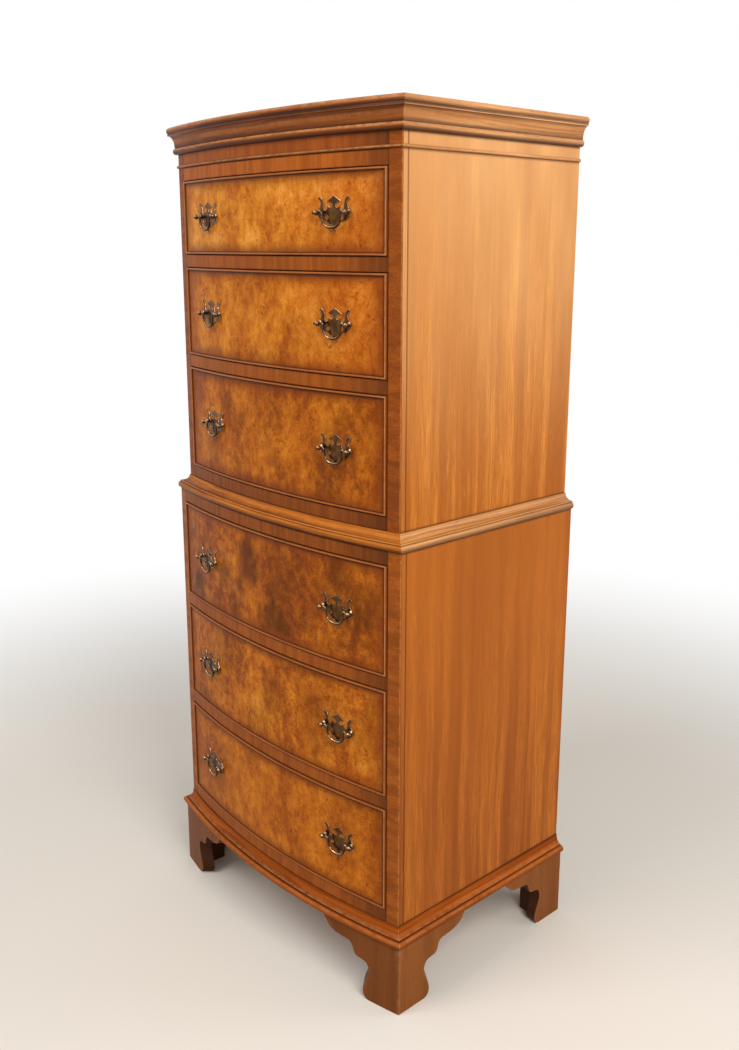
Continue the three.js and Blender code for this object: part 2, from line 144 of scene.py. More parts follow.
def new_material(name):
    """An empty material and its node tree."""
    material = bpy.data.materials.new(name)
    material.use_nodes = True
    material.node_tree.nodes.clear()
    return material, material.node_tree


def seen_directly(tree):
    """1 for rays from the camera, and for those mirrored or passed on by gloss or glass."""
    rays = add_node(tree, "ShaderNodeLightPath").outputs
    seen = calculate(tree, "MAXIMUM", rays["Is Camera Ray"], rays["Is Glossy Ray"])
    return calculate(tree, "MAXIMUM", seen, rays["Is Transmission Ray"])


floor_material, tree = new_material("pale floor")
flat_place = scaled(tree, own_place(tree), 1, 1, 0)
distance = add_node(tree, "ShaderNodeVectorMath", {0: flat_place}, operation="LENGTH").outputs["Value"]
whiteness = spread(tree, distance, shadow_radius, white_radius)
whiteness = times(tree, whiteness, seen_directly(tree))
paint = add_node(tree, "ShaderNodeBsdfPrincipled", {"Base Color": floor_colour, "Roughness": 0.9})
white = add_node(tree, "ShaderNodeEmission", {"Strength": 1.0})
inputs = {0: whiteness, 1: paint.outputs[0], 2: white.outputs[0]}
mixed = add_node(tree, "ShaderNodeMixShader", inputs)
add_node(tree, "ShaderNodeOutputMaterial", {"Surface": mixed.outputs[0]})

floor_mesh = bpy.data.meshes.new("floor")
floor_corners = [(-floor_half, -floor_half, 0), (floor_half, -floor_half, 0),
                 (floor_half, floor_half, 0), (-floor_half, floor_half, 0)]
floor_mesh.from_pydata(floor_corners, [], [(0, 1, 2, 3)])
floor_mesh.materials.append(floor_material)
floor = bpy.data.objects.new("floor", floor_mesh)
scene.collection.objects.link(floor)

world = bpy.data.worlds.new("surround")
world.use_nodes = True
tree = world.node_tree
tree.nodes.clear()
soft = add_node(tree, "ShaderNodeBackground", {"Color": surround_light, "Strength": surround_strength})
plain = add_node(tree, "ShaderNodeBackground", {"Color": (1, 1, 1, 1), "Strength": 1.0})
inputs = {0: seen_directly(tree), 1: soft.outputs[0], 2: plain.outputs[0]}
mixed = add_node(tree, "ShaderNodeMixShader", inputs)
add_node(tree, "ShaderNodeOutputWorld", {"Surface": mixed.outputs[0]})
scene.world = world
scene.view_settings.view_transform = "Standard"


def add_lamp(name, place, size, power, colour):
    """A square soft lamp at a place, turned to the chest."""
    light = bpy.data.lights.new(name, "AREA")
    light.size = size
    light.energy = power
    light.color = colour
    lamp = bpy.data.objects.new(name, light)
    lamp.location = place
    lamp.rotation_euler = (lamp_target - Vector(place)).to_track_quat("-Z", "Y").to_euler()
    scene.collection.objects.link(lamp)


add_lamp("high right lamp", (2.2, -0.7, 2.2), 1.3, 49, (1.0, 0.96, 0.90))
add_lamp("high front lamp", (-0.5, -2.3, 2.9), 1.6, 44, (1.0, 0.98, 0.96))
add_lamp("right rear lamp", (2.0, 1.9, 1.9), 1.0, 12, (1.0, 0.98, 0.96))


# The bracket feet. Each front foot is a pair of scrolled walnut brackets mitred at the corner,
# with a glue block behind. A rear foot has one scrolled bracket and a plain board at the back.
hands = ((-1, "left"), (1, "right"))
bow_radius = 1.275
case_depth = 0.3985
half_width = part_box("lower_side_right")[1].x
back_y = cad_high.y
bow_centre_y = back_y - case_depth + math.sqrt(bow_radius ** 2 - half_width ** 2)
foot_reach = 0.011
foot_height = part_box("foot_front_right")[1].z
bracket_length = 0.152
bracket_thickness = 0.020
back_bracket_share = 0.75
bracket_toe_share = 0.38
bracket_curve_shares = [
    [(0.44, 0.01), (0.47, 0.10), (0.44, 0.20)],
    [(0.41, 0.32), (0.33, 0.44), (0.40, 0.56)],
    [(0.43, 0.59), (0.47, 0.59), (0.53, 0.60)],
    [(0.59, 0.61), (0.57, 0.75), (0.63, 0.78)],
    [(0.70, 0.79), (0.75, 0.79), (0.83, 0.81)],
    [(0.93, 0.84), (0.96, 0.90), (1.00, 1.00)],
]
foot_block_width = 0.030
foot_block_lift = 0.002
least_rise_share = 0.0005
curve_steps = 7
foot_stations = 12
# Painted shade on the inside faces of the feet.
inside_shade_mark = -0.9
arris = 0.0007
block_arris = 0.001
board_arris = 0.0008
worn_reach = 0.002
share_length = 0.3
relief_depth = 0.0004
pore_shade = (0.35, 0.28, 0.25, 1)
# Bare pale wood at worn arrises, and the painted highlight on rounds.
bare_walnut_and_highlight = (0.64, 0.31, 0.12, 1)
# Dirt in the quirks, and painted shade.
dirt_and_shade_colour = (0.018, 0.007, 0.004, 1)
upright_grain = (0, math.pi / 2, 0)
endways_grain = (0, 0, math.pi / 2)


def new_group(name, kind, inputs, outputs):
    """A node group with its sockets, and the nodes at its two ends."""
    group = bpy.data.node_groups.new(name, kind)
    for label, value_kind, value in inputs:
        socket = group.interface.new_socket(label, in_out="INPUT", socket_type="NodeSocket" + value_kind)
        if value is not None:
            socket.default_value = value
    for label, value_kind in outputs:
        group.interface.new_socket(label, in_out="OUTPUT", socket_type="NodeSocket" + value_kind)
    return group, group.nodes.new("NodeGroupInput").outputs, group.nodes.new("NodeGroupOutput").inputs


def new_figure(name, inputs):
    """A group that draws a wood's figure, and gives its colour, relief and roughness."""
    return new_group(name, "ShaderNodeTree", [("Vector", "Vector", None), *inputs],
                     [("Color", "Color"), ("Height", "Float"), ("Roughness", "Float")])


def noise(tree, vector, scale=1.0, detail=2.0, roughness=0.5):
    """A noise texture's grey value."""
    inputs = {"Vector": vector, "Scale": scale, "Detail": detail, "Roughness": roughness}
    return add_node(tree, "ShaderNodeTexNoise", inputs).outputs["Fac"]


def warped(tree, vector, scale, amount):
    """The vector pushed about by a noise of its own."""
    inputs = {"Vector": vector, "Scale": scale, "Detail": 2.0}
    push = add_node(tree, "ShaderNodeTexNoise", inputs).outputs["Color"]
    centred = add_node(tree, "ShaderNodeVectorMath", {0: push, 1: (0.5, 0.5, 0.5)}, operation="SUBTRACT")
    inputs = {0: centred.outputs[0], 1: (amount, amount, amount), 2: vector}
    return add_node(tree, "ShaderNodeVectorMath", inputs, operation="MULTIPLY_ADD").outputs[0]


def streaked(tree, vector, along, across):
    """The vector scaled one way along the grain and another way across it."""
    lengths = add_node(tree, "ShaderNodeCombineXYZ", {"X": along, "Y": across, "Z": across}).outputs[0]
    inputs = {0: vector, 1: lengths}
    return add_node(tree, "ShaderNodeVectorMath", inputs, operation="MULTIPLY").outputs[0]


def blended(tree, share, first, second, way="MIX"):
    """One colour blended with another."""
    inputs = {0: share, 6: first, 7: second}
    return add_node(tree, "ShaderNodeMix", inputs, data_type="RGBA", blend_type=way).outputs[2]


def marked(tree, name):
    """The marks that the points of a mesh carry under a name."""
    return add_node(tree, "ShaderNodeAttribute", attribute_name=name).outputs["Fac"]


def place_along(tree, axis):
    """How far each point lies along one axis of its object's own space."""
    return add_node(tree, "ShaderNodeSeparateXYZ", {"Vector": own_place(tree)}).outputs[axis]


# Straight grain along X: broad bands, fine lines, and short dark pores
grain, given, made = new_figure("straight grain", [
    ("Light", "Color", (0.24, 0.08, 0.02, 1)),
    ("Dark", "Color", (0.10, 0.03, 0.01, 1)),
    ("Bands", "Float", 14.0),
    ("Contrast", "Float", 1.0),
    ("Fineness", "Float", 330.0),
    ("Lines", "Float", 0.3),
    ("Pores", "Float", 0.4),
])
pushed = warped(grain, given["Vector"], 5.0, 0.016)
bands = noise(grain, streaked(grain, pushed, 1.1, given["Bands"]), 1.0, 4.0, 0.6)
bands = calculate(grain, "SUBTRACT", spread(grain, bands, 0.33, 0.66), 0.5)
bands = times(grain, bands, given["Contrast"])
bands = plus(grain, bands, 0.5, True)
lines = noise(grain, streaked(grain, pushed, 13.0, given["Fineness"]), 1.0, 3.0, 0.6)
lines = spread(grain, lines, 0.35, 0.7)
pores = noise(grain, scaled(grain, given["Vector"], 70, 1900, 1900), 1.0, 1.0)
pores = spread(grain, pores, 0.56, 0.72)
colour = blended(grain, bands, given["Dark"], given["Light"])
colour = blended(grain, times(grain, lines, given["Lines"]), colour, given["Dark"])
colour = blended(grain, times(grain, pores, given["Pores"]), colour, pore_shade, "MULTIPLY")
height = plus(grain, times(grain, lines, 0.4), pores)
grain.links.new(colour, made["Color"])
grain.links.new(times(grain, height, -1.0), made["Height"])
grain.links.new(spread(grain, bands, 0, 1, 0.40, 0.31), made["Roughness"])

# Worn arrises show bare pale wood, and polish and dust darken the quirks. The same marks also paint
# highlights on the crowns of rounds, and shade under rolls and beside beads.
worn, given, made = new_group("worn edges with painted light and shade", "ShaderNodeTree", [
    ("Vector", "Vector", None),
    ("Color", "Color", (0.24, 0.08, 0.02, 1)),
    ("Edge", "Float", 0.0),
    ("Wear", "Float", 0.5),
    ("Dirt", "Float", 0.8),
], [("Color", "Color")])
patches = spread(worn, noise(worn, given["Vector"], 90, 4.0, 0.65), 0.34, 0.62, 0.25, 1.0)
raised = calculate(worn, "MAXIMUM", given["Edge"], 0.0)
bare = times(worn, times(worn, raised, patches), given["Wear"], True)
dirt_and_shade_share = calculate(worn, "MAXIMUM", times(worn, given["Edge"], -1.0), 0.0)
dirt_and_shade_share = times(worn, dirt_and_shade_share, given["Dirt"], True)
colour = blended(worn, bare, given["Color"], bare_walnut_and_highlight)
worn.links.new(blended(worn, dirt_and_shade_share, colour, dirt_and_shade_colour), made["Color"])


def placed_vector(tree, from_run, offset, turn):
    """The piece's own coordinates, or its run, moved and turned so that the grain lies on X."""
    if from_run:
        vector = add_node(tree, "ShaderNodeUVMap", uv_map="run").outputs["UV"]
    else:
        vector = own_place(tree)
    inputs = {"Vector": vector, "Location": offset, "Rotation": turn}
    return add_node(tree, "ShaderNodeMapping", inputs).outputs[0]


def grouped(tree, group, **inputs):
    """The outputs of a node group placed in a tree."""
    return add_node(tree, "ShaderNodeGroup", inputs, node_tree=group).outputs


def aged(tree, colour, wear_and_highlight, dirt_and_shade=0.8):
    """The colour with its arrises worn and its quirks dark, with painted highlights and painted shade, after
    the piece's edge marks.
    """
    return grouped(tree, worn, Vector=own_place(tree), Color=colour, Edge=marked(tree, "edge"),
                   Wear=wear_and_highlight, Dirt=dirt_and_shade)["Color"]


def surfaced(tree, inputs):
    """Ends a material with a surface of these inputs."""
    surface = add_node(tree, "ShaderNodeBsdfPrincipled", inputs)
    add_node(tree, "ShaderNodeOutputMaterial", {"Surface": surface.outputs[0]})


def polished(tree, colour, figure, coat=0.12, bump=0.15):
    """Ends a wood material: its colour under a thin polish, with the grain just felt."""
    inputs = {"Height": figure["Height"], "Strength": bump, "Distance": relief_depth}
    relief = add_node(tree, "ShaderNodeBump", inputs).outputs[0]
    surfaced(tree, {"Base Color": colour, "Roughness": figure["Roughness"], "Normal": relief,
                    "Specular IOR Level": 0.03, "Coat Weight": coat, "Coat Roughness": 0.22})


def walnut(name, light, dark, from_run=False, offset=(0, 0, 0), turn=(0, 0, 0), bands=14.0,
           contrast=1.0, fineness=330.0, lines=0.3, pores=0.4, wear_and_highlight=0.6, coat=0.12, deepened=None):
    """Solid walnut, or plain veneer, with straight grain. Deepened, where it is given, holds how much of the
    dark colour is blended back in, the depth where that begins to thin out, and where it is gone."""
    material, tree = new_material(name)
    vector = placed_vector(tree, from_run, offset, turn)
    figure = grouped(tree, grain, Vector=vector, Light=light, Dark=dark, Bands=bands,
                     Contrast=contrast, Fineness=fineness, Lines=lines, Pores=pores)
    colour = figure["Color"]
    if deepened:
        amount, near, far = deepened
        share = spread(tree, place_along(tree, "Y"), near, far, amount, 0.0)
        colour = blended(tree, share, colour, dark)
    polished(tree, aged(tree, colour, wear_and_highlight), figure, coat)
    return material


def ring_skin(name, rings, edges, runs=None, closed=False):
    """A mesh over rings of points. Each ring goes once round the piece. Edges holds how worn and painted
    light, above 0, or dirty and painted dark, below 0, each point is, and runs how far along the piece each
    ring is."""
    form = bmesh.new()
    run_layer = form.loops.layers.uv.new("run")
    edge_layer = form.verts.layers.float.new("edge")
    if not isinstance(edges[0], (list, tuple)):
        edges = [edges] * len(rings)
    rows = []
    for ring, marks in zip(rings, edges):
        row = [form.verts.new(point) for point in ring]
        for corner, mark in zip(row, marks):
            corner[edge_layer] = mark
        rows.append(row)
    count = len(rings[0])
    if runs is None:
        starts = [Vector(ring[0]) for ring in rings]
        runs = [0.0]
        for before, after in zip(starts, starts[1:]):
            runs.append(runs[-1] + (after - before).length)
    runs = list(runs)
    first = [Vector(point) for point in rings[0]]
    girths = [0.0]
    for i in range(count):
        girths.append(girths[-1] + (first[(i + 1) % count] - first[i]).length)
    if closed:
        rows.append(rows[0])
        runs.append(2 * runs[-1] - runs[-2])
    for r in range(len(rows) - 1):
        for i in range(count):
            j = (i + 1) % count
            face = form.faces.new((rows[r][i], rows[r + 1][i], rows[r + 1][j], rows[r][j]))
            places = ((runs[r], girths[i]), (runs[r + 1], girths[i]),
                      (runs[r + 1], girths[i + 1]), (runs[r], girths[i + 1]))
            for loop, place in zip(face.loops, places):
                loop[run_layer].uv = place
    if not closed:
        for row, run in ((rows[0], runs[0]), (rows[-1], runs[-1])):
            cap = form.faces.new(row)
            for loop, girth in zip(cap.loops, girths):
                loop[run_layer].uv = (run, girth)
    bmesh.ops.recalc_face_normals(form, faces=form.faces)
    mesh = bpy.data.meshes.new(name)
    form.to_mesh(mesh)
    form.free()
    return mesh


def made_plain(name, source):
    """The object's evaluated shape as a plain mesh. The object itself is removed."""
    graph = bpy.context.evaluated_depsgraph_get()
    final = bpy.data.meshes.new_from_object(source.evaluated_get(graph), preserve_all_data_layers=True,
                                            depsgraph=graph)
    source.modifiers.clear()
    bpy.data.objects.remove(source)
    final.name = name
    return final


def shaped(name, mesh, tree, material, values=None):
    """The mesh that a geometry tree makes from a mesh."""
    source = bpy.data.objects.new(name + "_source", mesh)
    scene.collection.objects.link(source)
    shape = source.modifiers.new("shape", "NODES")
    shape.node_group = tree
    for label, value in {**(values or {}), "Material": material}.items():
        shape[tree.interface.items_tree[label].identifier] = value
    return made_plain(name, source)


def settle(name, mesh, body, nodes, material=None, bevel=0.0, sharp=32):
    """Softens a mesh's arrises, evens its shading, and sets it on its body."""
    mesh.shade_smooth()
    if material is not None:
        mesh.materials.append(material)
    source = bpy.data.objects.new(name + "_source", mesh)
    scene.collection.objects.link(source)
    if bevel:
        soft = source.modifiers.new("arrises", "BEVEL")
        soft.width = bevel
        soft.segments = 2
        soft.angle_limit = math.radians(sharp)
    else:
        mesh.set_sharp_from_angle(angle=math.radians(sharp))
    shading = source.modifiers.new("shading", "WEIGHTED_NORMAL")
    shading.keep_sharp = True
    piece = bpy.data.objects.new(name, made_plain(name, source))
    scene.collection.objects.link(piece)
    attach(piece, body)
    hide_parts(*nodes.split())
    return piece


def bow_depth(tree, x, radius, centre):
    """Depth at x of the bow of this radius, by its circle."""
    square = times(tree, radius, radius)
    square = calculate(tree, "SUBTRACT", square, times(tree, x, x))
    return calculate(tree, "SUBTRACT", centre, calculate(tree, "SQRT", square))


def new_shaper(name, inputs):
    """A geometry tree that takes a form, some values and a material, and gives a form."""
    sockets = [("Geometry", "Geometry", None), *inputs, ("Material", "Material", None)]
    return new_group(name, "GeometryNodeTree", sockets, [("Geometry", "Geometry")])


def finish_shaper(tree, geometry, given, made):
    """Ends a geometry tree: its instances made real, and its material set."""
    real = add_node(tree, "GeometryNodeRealizeInstances", {"Geometry": geometry}).outputs[0]
    inputs = {"Geometry": real, "Material": given["Material"]}
    coated = add_node(tree, "GeometryNodeSetMaterial", inputs).outputs[0]
    tree.links.new(coated, made["Geometry"])


def flat_lengths(tree):
    """The X, Y and Z of each point of a flat form."""
    position = add_node(tree, "GeometryNodeInputPosition").outputs[0]
    return add_node(tree, "ShaderNodeSeparateXYZ", {"Vector": position}).outputs


def moved_to(tree, geometry, x, y, z):
    """The geometry with every point set to a new place."""
    place = add_node(tree, "ShaderNodeCombineXYZ", {"X": x, "Y": y, "Z": z}).outputs[0]
    return add_node(tree, "GeometryNodeSetPosition", {"Geometry": geometry, "Position": place}).outputs[0]


# The wrap: a flat run, of shares along X, stands along -Y and levels along Z, is laid round
# the left side, the bowed front and the right side, with a mitre at each corner. One share is
# half of the front, or the whole of a side.
wrap, given, made = new_shaper("wrap round the case", [
    ("Half Width", "Float", half_width),
    ("Bow Radius", "Float", bow_radius),
    ("Bow Centre", "Float", bow_centre_y),
    ("Back", "Float", back_y),
])
flat = flat_lengths(wrap)
half = calculate(wrap, "SUBTRACT", given["Half Width"], flat["Y"])
radius = calculate(wrap, "SUBTRACT", given["Bow Radius"], flat["Y"])
share = calculate(wrap, "MINIMUM", calculate(wrap, "MAXIMUM", flat["X"], -1.0), 1.0)
past = calculate(wrap, "SUBTRACT", calculate(wrap, "ABSOLUTE", flat["X"]), 1.0, True)
x = times(wrap, share, half)
front = bow_depth(wrap, x, radius, given["Bow Centre"])
rest = times(wrap, calculate(wrap, "SUBTRACT", given["Back"], front), past)
y = plus(wrap, front, rest)
finish_shaper(wrap, moved_to(wrap, given["Geometry"], x, y, flat["Z"]), given, made)


def bow_y(x, stand):
    """Depth of the bowed front at x, for a face that stands out from the lower case's."""
    return bow_centre_y - math.sqrt((bow_radius + stand) ** 2 - x ** 2)


def curve_point(points, t):
    """A point on a cubic curve of four points."""
    weights = ((1 - t) ** 3, 3 * t * (1 - t) ** 2, 3 * t * t * (1 - t), t ** 3)
    return tuple(sum(weight * point[axis] for weight, point in zip(weights, points)) for axis in (0, 1))


def bracket_outline():
    """How far the bracket runs from its corner at each height, from the floor up."""
    rows = [(bracket_toe_share, 0.0)]
    for curve in bracket_curve_shares:
        start = rows[-1]
        rows += [curve_point([start, *curve], i / curve_steps) for i in range(1, curve_steps + 1)]
    rising = [rows[0]]
    for reach, height in rows[1:]:
        rising.append((reach, max(height, rising[-1][1] + least_rise_share)))
    top = rising[-1][1]
    return [(reach * bracket_length, height / top * foot_height) for reach, height in rising]


def between(start, end, steps):
    """Evenly spaced stations from one place to another."""
    return [start + (end - start) * i / steps for i in range(steps + 1)]


foot_half = half_width + foot_reach
side_run = back_y - bow_y(foot_half, foot_reach)
# The front brackets take a darker copy of the foot walnut as painted shade, and the side brackets a paler
# copy as painted light. The glue blocks and back boards take the darker copy.
lit_and_shaded_foot_walnuts = {
    "front": walnut("front foot walnut", (0.24, 0.073, 0.0145, 1), (0.125, 0.034, 0.0065, 1),
                    turn=upright_grain, bands=30, contrast=0.4, wear_and_highlight=0.25),
    "side": walnut("side foot walnut", (0.32, 0.102, 0.0185, 1), (0.16, 0.047, 0.0090, 1),
                   turn=upright_grain, bands=24, contrast=0.4, wear_and_highlight=0.3),
}
shaded_foot_walnut = lit_and_shaded_foot_walnuts["front"]


def foot_skin(name, side, part, at_front):
    """One scrolled bracket of a foot, level by level, in shares round the case. The scroll's sawn edge and
    the inside are painted dark as shade."""
    rings = []
    edges = []
    for reach, height in bracket_outline():
        if part == "front":
            stations = between(1, 1 - reach / foot_half, foot_stations)
        elif at_front:
            stations = between(1, 1 + reach / side_run, foot_stations)
        else:
            stations = between(2, 2 - reach / side_run, foot_stations)
        places = [(station, 0.0) for station in stations] + [(stations[-1], worn_reach / 2)]
        places += [(station, bracket_thickness) for station in reversed(stations)]
        rings.append([(side * x, depth, height) for x, depth in places])
        corner_mark = 0.8 if at_front else 0.0
        marks = [corner_mark] + [0.0] * (foot_stations - 1) + [0.3, -1.0, -1.0]
        edges.append(marks + [inside_shade_mark] * foot_stations)
    return ring_skin(name, rings, edges, runs=[ring[0][2] for ring in rings])


def plank(name, low, high, mark=0.0):
    """A board between two corners, with one edge mark."""
    rings = [[(low[0], low[1], z), (high[0], low[1], z), (high[0], high[1], z), (low[0], high[1], z)]
             for z in (low[2], high[2])]
    return ring_skin(name, rings, [mark] * 4)


wrap_values = {"Half Width": foot_half, "Bow Radius": bow_radius + foot_reach}
for side, hand in hands:
    for at_front, end in ((True, "front"), (False, "rear")):
        node = f"foot_{end}_{hand}"
        for part in ("front", "side") if at_front else ("side",):
            flat_skin = foot_skin(node, side, part, at_front)
            skin = shaped(node, flat_skin, wrap, lit_and_shaded_foot_walnuts[part], wrap_values)
            settle(f"{node}_{part}_bracket", skin, "lower_chest", node)
        inside = foot_half - bracket_thickness
        corner_y = bow_y(foot_half, foot_reach) if at_front else back_y
        way = 1 if at_front else -1
        near = corner_y + way * bracket_thickness
        ends = sorted((near, near + way * foot_block_width))
        sides = sorted((side * inside, side * (inside - foot_block_width)))
        block_low = (sides[0], ends[0], foot_block_lift)
        # The whole glue block is marked dark: painted shade behind the brackets.
        block = plank(node + "_block", block_low, (sides[1], ends[1], foot_height), inside_shade_mark)
        settle(node + "_block", block, "lower_chest", node, shaded_foot_walnut, block_arris)
        if not at_front:
            toe = foot_half - bracket_toe_share * bracket_length
            wing = foot_half - back_bracket_share * bracket_length
            rings = [[(side * x, y, z) for x, y in ((inner, back_y - bracket_thickness), (inner, back_y),
                                                    (inside, back_y), (inside, back_y - bracket_thickness))]
                     for inner, z in ((toe, 0.0), (wing, foot_height))]
            board = ring_skin(node + "_back", rings, [0.0] * 4)
            settle(node + "_back", board, "lower_chest", node, shaded_foot_walnut, board_arris)


# The base moulding: a solid walnut frame, mitred and glued under the lower case. A cove comes
# down from the case to a quirk and a bold roll, and the feet are glued under it.
frame_width = 0.045
base_roll_foot = 0.0115
base_roll_reach = 0.017
base_roll_height = 0.0122
base_quirk_reach = 0.0095
base_quirk_height = 0.0016
base_quirk_slope = 0.0003
base_quirk_shade = 0.0008
base_lip_ease = 0.0002
base_cove_reach = 0.0008
base_cove_lap = 0.0006
arc_steps = 9
front_steps = 56
side_steps = 6
mitre_share = 0.0025
moulding_lengths = {"left": (-2, -1, side_steps), "front": (-1, 1, front_steps), "right": (1, 2, side_steps)}


def node_levels(node):
    """The lowest and the highest level of a node of the frame."""
    low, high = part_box(node)
    return low.z, high.z


def arc_points(centre, radii, start, end, marks, steps=arc_steps):
    """Points round an ellipse, between two angles in degrees, with a mark blended along it."""
    points = []
    for i in range(steps + 1):
        share = i / steps
        angle = math.radians(start + (end - start) * share)
        level = share * (len(marks) - 1)
        before = min(int(level), len(marks) - 2)
        mark = marks[before] + (marks[before + 1] - marks[before]) * (level - before)
        points.append((centre[0] + radii[0] * math.cos(angle), centre[1] + radii[1] * math.sin(angle), mark))
    return points


def moulded(name, outline, level, face, walnuts, body, node, sharp=40):
    """A moulding of one outline, of stands and heights, in three lengths mitred at the corners."""
    values = {"Half Width": half_width + face, "Bow Radius": bow_radius + face}
    for part, (start, end, steps) in moulding_lengths.items():
        stations = [start, *between(start + mitre_share, end - mitre_share, steps), end]
        rings = []
        edges = []
        for station in stations:
            rings.append([(station, -stand, level + height) for stand, height, mark in outline])
            bonus = 1.0 if abs(station) == 1 else 0.0
            edges.append([mark + bonus if mark >= 0 else mark for stand, height, mark in outline])
        skin = ring_skin(name, rings, edges, runs=[station * share_length for station in stations])
        material = walnuts[0] if part == "front" else walnuts[1]
        length = shaped(name, skin, wrap, material, values)
        settle(f"{name}_{part}", length, body, node, sharp=sharp)


base_low, base_high = node_levels("base_moulding")
base_height = base_high - base_low
base_cove_foot = base_roll_height + base_quirk_height
base_roll = ((base_roll_foot, base_roll_height / 2),
             (base_roll_reach - base_roll_foot, base_roll_height / 2))
base_cove = ((base_quirk_reach, base_height),
             (base_quirk_reach - base_cove_reach, base_height - base_cove_foot))
# The edge marks paint light and shade on the base moulding as well as wear and dirt: a paler sheen low in the
# cove, a highlight high on the roll and shade under it.
base_outline = [(-frame_width, 0, 0), (0, 0, -0.5), (base_roll_foot, 0, 0.2)]
base_outline += arc_points(*base_roll, -80, 90, (-0.8, -0.4, -0.1, 0.15, 0.6, -0.4))
base_outline += [
    (base_quirk_reach + base_quirk_slope, base_roll_height, -0.9),
    (base_quirk_reach, base_cove_foot - base_quirk_shade, -0.3),
    (base_quirk_reach, base_cove_foot - base_lip_ease, 0.9),
    (base_quirk_reach - 2 * base_lip_ease, base_cove_foot + base_lip_ease, 0.9),
]
base_outline += arc_points(*base_cove, 264, 180, (0.55, 0.3, 0.1, 0.0, 0.0, -0.5))
base_outline += [(base_cove_reach - base_cove_lap, base_height, -0.9), (-frame_width, base_height, 0)]
base_walnuts = [
    walnut(f"base walnut {part}", light, dark, from_run=True, bands=70, contrast=1.1, fineness=1000,
           lines=0.5, wear_and_highlight=0.6, coat=0.02)
    for part, light, dark in (("front", (0.43, 0.096, 0.008, 1), (0.18, 0.035, 0.003, 1)),
                              ("side", (0.45, 0.102, 0.008, 1), (0.18, 0.035, 0.003, 1)))
]
moulded("base_moulding", base_outline, base_low, 0.0, base_walnuts, "lower_chest", "base_moulding")


# The sides of the two cases: walnut veneered boards that stand on the base and in the waist.
# Each has a solid lipping at its front corner, and a stile of crossbanded veneer on its front.
case_step = half_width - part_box("upper_side_right")[1].x
opening_half = {"lower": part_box("lower_divider_low")[1].x, "upper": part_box("upper_divider_low")[1].x}
case_faces = {"lower": 0.0, "upper": -case_step}
back_thickness = 0.006
back_rebate = 0.010
lipping_depth = 0.0105
stile_thickness = 0.0012
joint_line = 0.00035
ease_limit_share = 0.4
# The upper case's sides are paler than the lower's, partly from a paler veneer and partly as painted light.
side_colours = {
    "lower": ((0.54, 0.162, 0.016, 1), (0.27, 0.065, 0.006, 1)),
    "upper": ((0.74, 0.270, 0.040, 1), (0.38, 0.104, 0.011, 1)),
}
# The colour each side is blended to higher up: on the upper case a pale painted sheen.
side_tops = {"lower": (0.46, 0.130, 0.013, 1), "upper": (0.93, 0.55, 0.23, 1)}
side_fleck_shares = {"lower": 0.12, "upper": 0.26}
waist_low, waist_high = node_levels("waist_moulding")
astragal_low, astragal_high = node_levels("astragal")
cornice_low, cornice_high = node_levels("cornice")
# Painted shade on the side veneer under and over the mouldings: the level where each lies, and which way the
# shade runs from it.
shade_lines = {"lower": [(waist_low, -1), (base_high, 1)],
               "upper": [(astragal_low, -1), (cornice_low, -1), (waist_high, 1)]}
shade_reach = 0.006
shade_edge = 0.001
fleck_colour = (0.95, 0.50, 0.18, 1)
# The colour of the painted shade at the mouldings.
under_moulding_shade_colour = (0.12, 0.036, 0.006, 1)


def eased(outline, radius=arris, reach=worn_reach):
    """Takes off the marked corners of an outline. Gives its points and the mark of each one: wear and painted
    highlight above 0, dirt and painted shade below 0.
    """
    points = []
    marks = []
    for i, (x, y, mark) in enumerate(outline):
        here = Vector((x, y))
        if mark is None:
            points.append(here)
            marks.append(0.0)
            continue
        before = Vector(outline[i - 1][:2]) - here
        after = Vector(outline[(i + 1) % len(outline)][:2]) - here
        for way, distance, amount in ((before, reach, 0), (before, radius, 1), (after, radius, 1),
                                      (after, reach, 0)):
            points.append(here + way.normalized() * min(distance, way.length * ease_limit_share))
            marks.append(mark * amount)
    return points, marks


def upright(name, outline, bottom, top, end_mark=0.0):
    """An upright piece over a plan outline, with its marked corners eased."""
    points, marks = eased(outline)
    levels = (bottom, bottom + worn_reach, top - worn_reach, top)
    rings = [[(point.x, point.y, level) for point in points] for level in levels]
    ends = [end_mark] * len(marks)
    return ring_skin(name, rings, [ends, marks, marks, ends])


def side_veneer(name, case, bottom, top, lines=0.8):
    """Side veneer: straight upright grain in soft streaks, with pale flecks, blended higher up to a top
    colour, which on the upper case is a pale painted sheen. Painted shade darkens the corners under and over
    the mouldings."""
    light, dark = side_colours[case]
    material, tree = new_material(name)
    vector = placed_vector(tree, False, (bottom + lines, 0, 0), upright_grain)
    figure = grouped(tree, grain, Vector=vector, Light=light, Dark=dark, Bands=42, Contrast=1.05,
                     Fineness=620.0, Lines=lines, Pores=0.5)
    level = place_along(tree, "Z")
    top_share = spread(tree, level, bottom, top, 0.0, 0.66)
    colour = blended(tree, top_share, figure["Color"], side_tops[case])
    flecks = noise(tree, scaled(tree, vector, 24, 150, 150), 1.0, 2.0)
    flecks = times(tree, spread(tree, flecks, 0.64, 0.86), side_fleck_shares[case])
    colour = blended(tree, flecks, colour, fleck_colour)
    cloud = spread(tree, noise(tree, scaled(tree, vector, 2.2, 9, 9), 1.0, 3.0), 0.3, 0.7)
    colour = blended(tree, times(tree, cloud, 0.45), colour, dark)
    # Painted shade just under and over the mouldings.
    for corner, way in shade_lines[case]:
        painted_shade = spread(tree, level, corner + way * shade_reach, corner)
        over_edge = spread(tree, level, corner, corner - way * shade_edge, 0.8, 0.0)
        painted_shade = times(tree, calculate(tree, "POWER", painted_shade, 2.0), over_edge)
        colour = blended(tree, painted_shade, colour, under_moulding_shade_colour)
    polished(tree, aged(tree, colour, 0.7), figure, 0.16, 0.10)
    return material


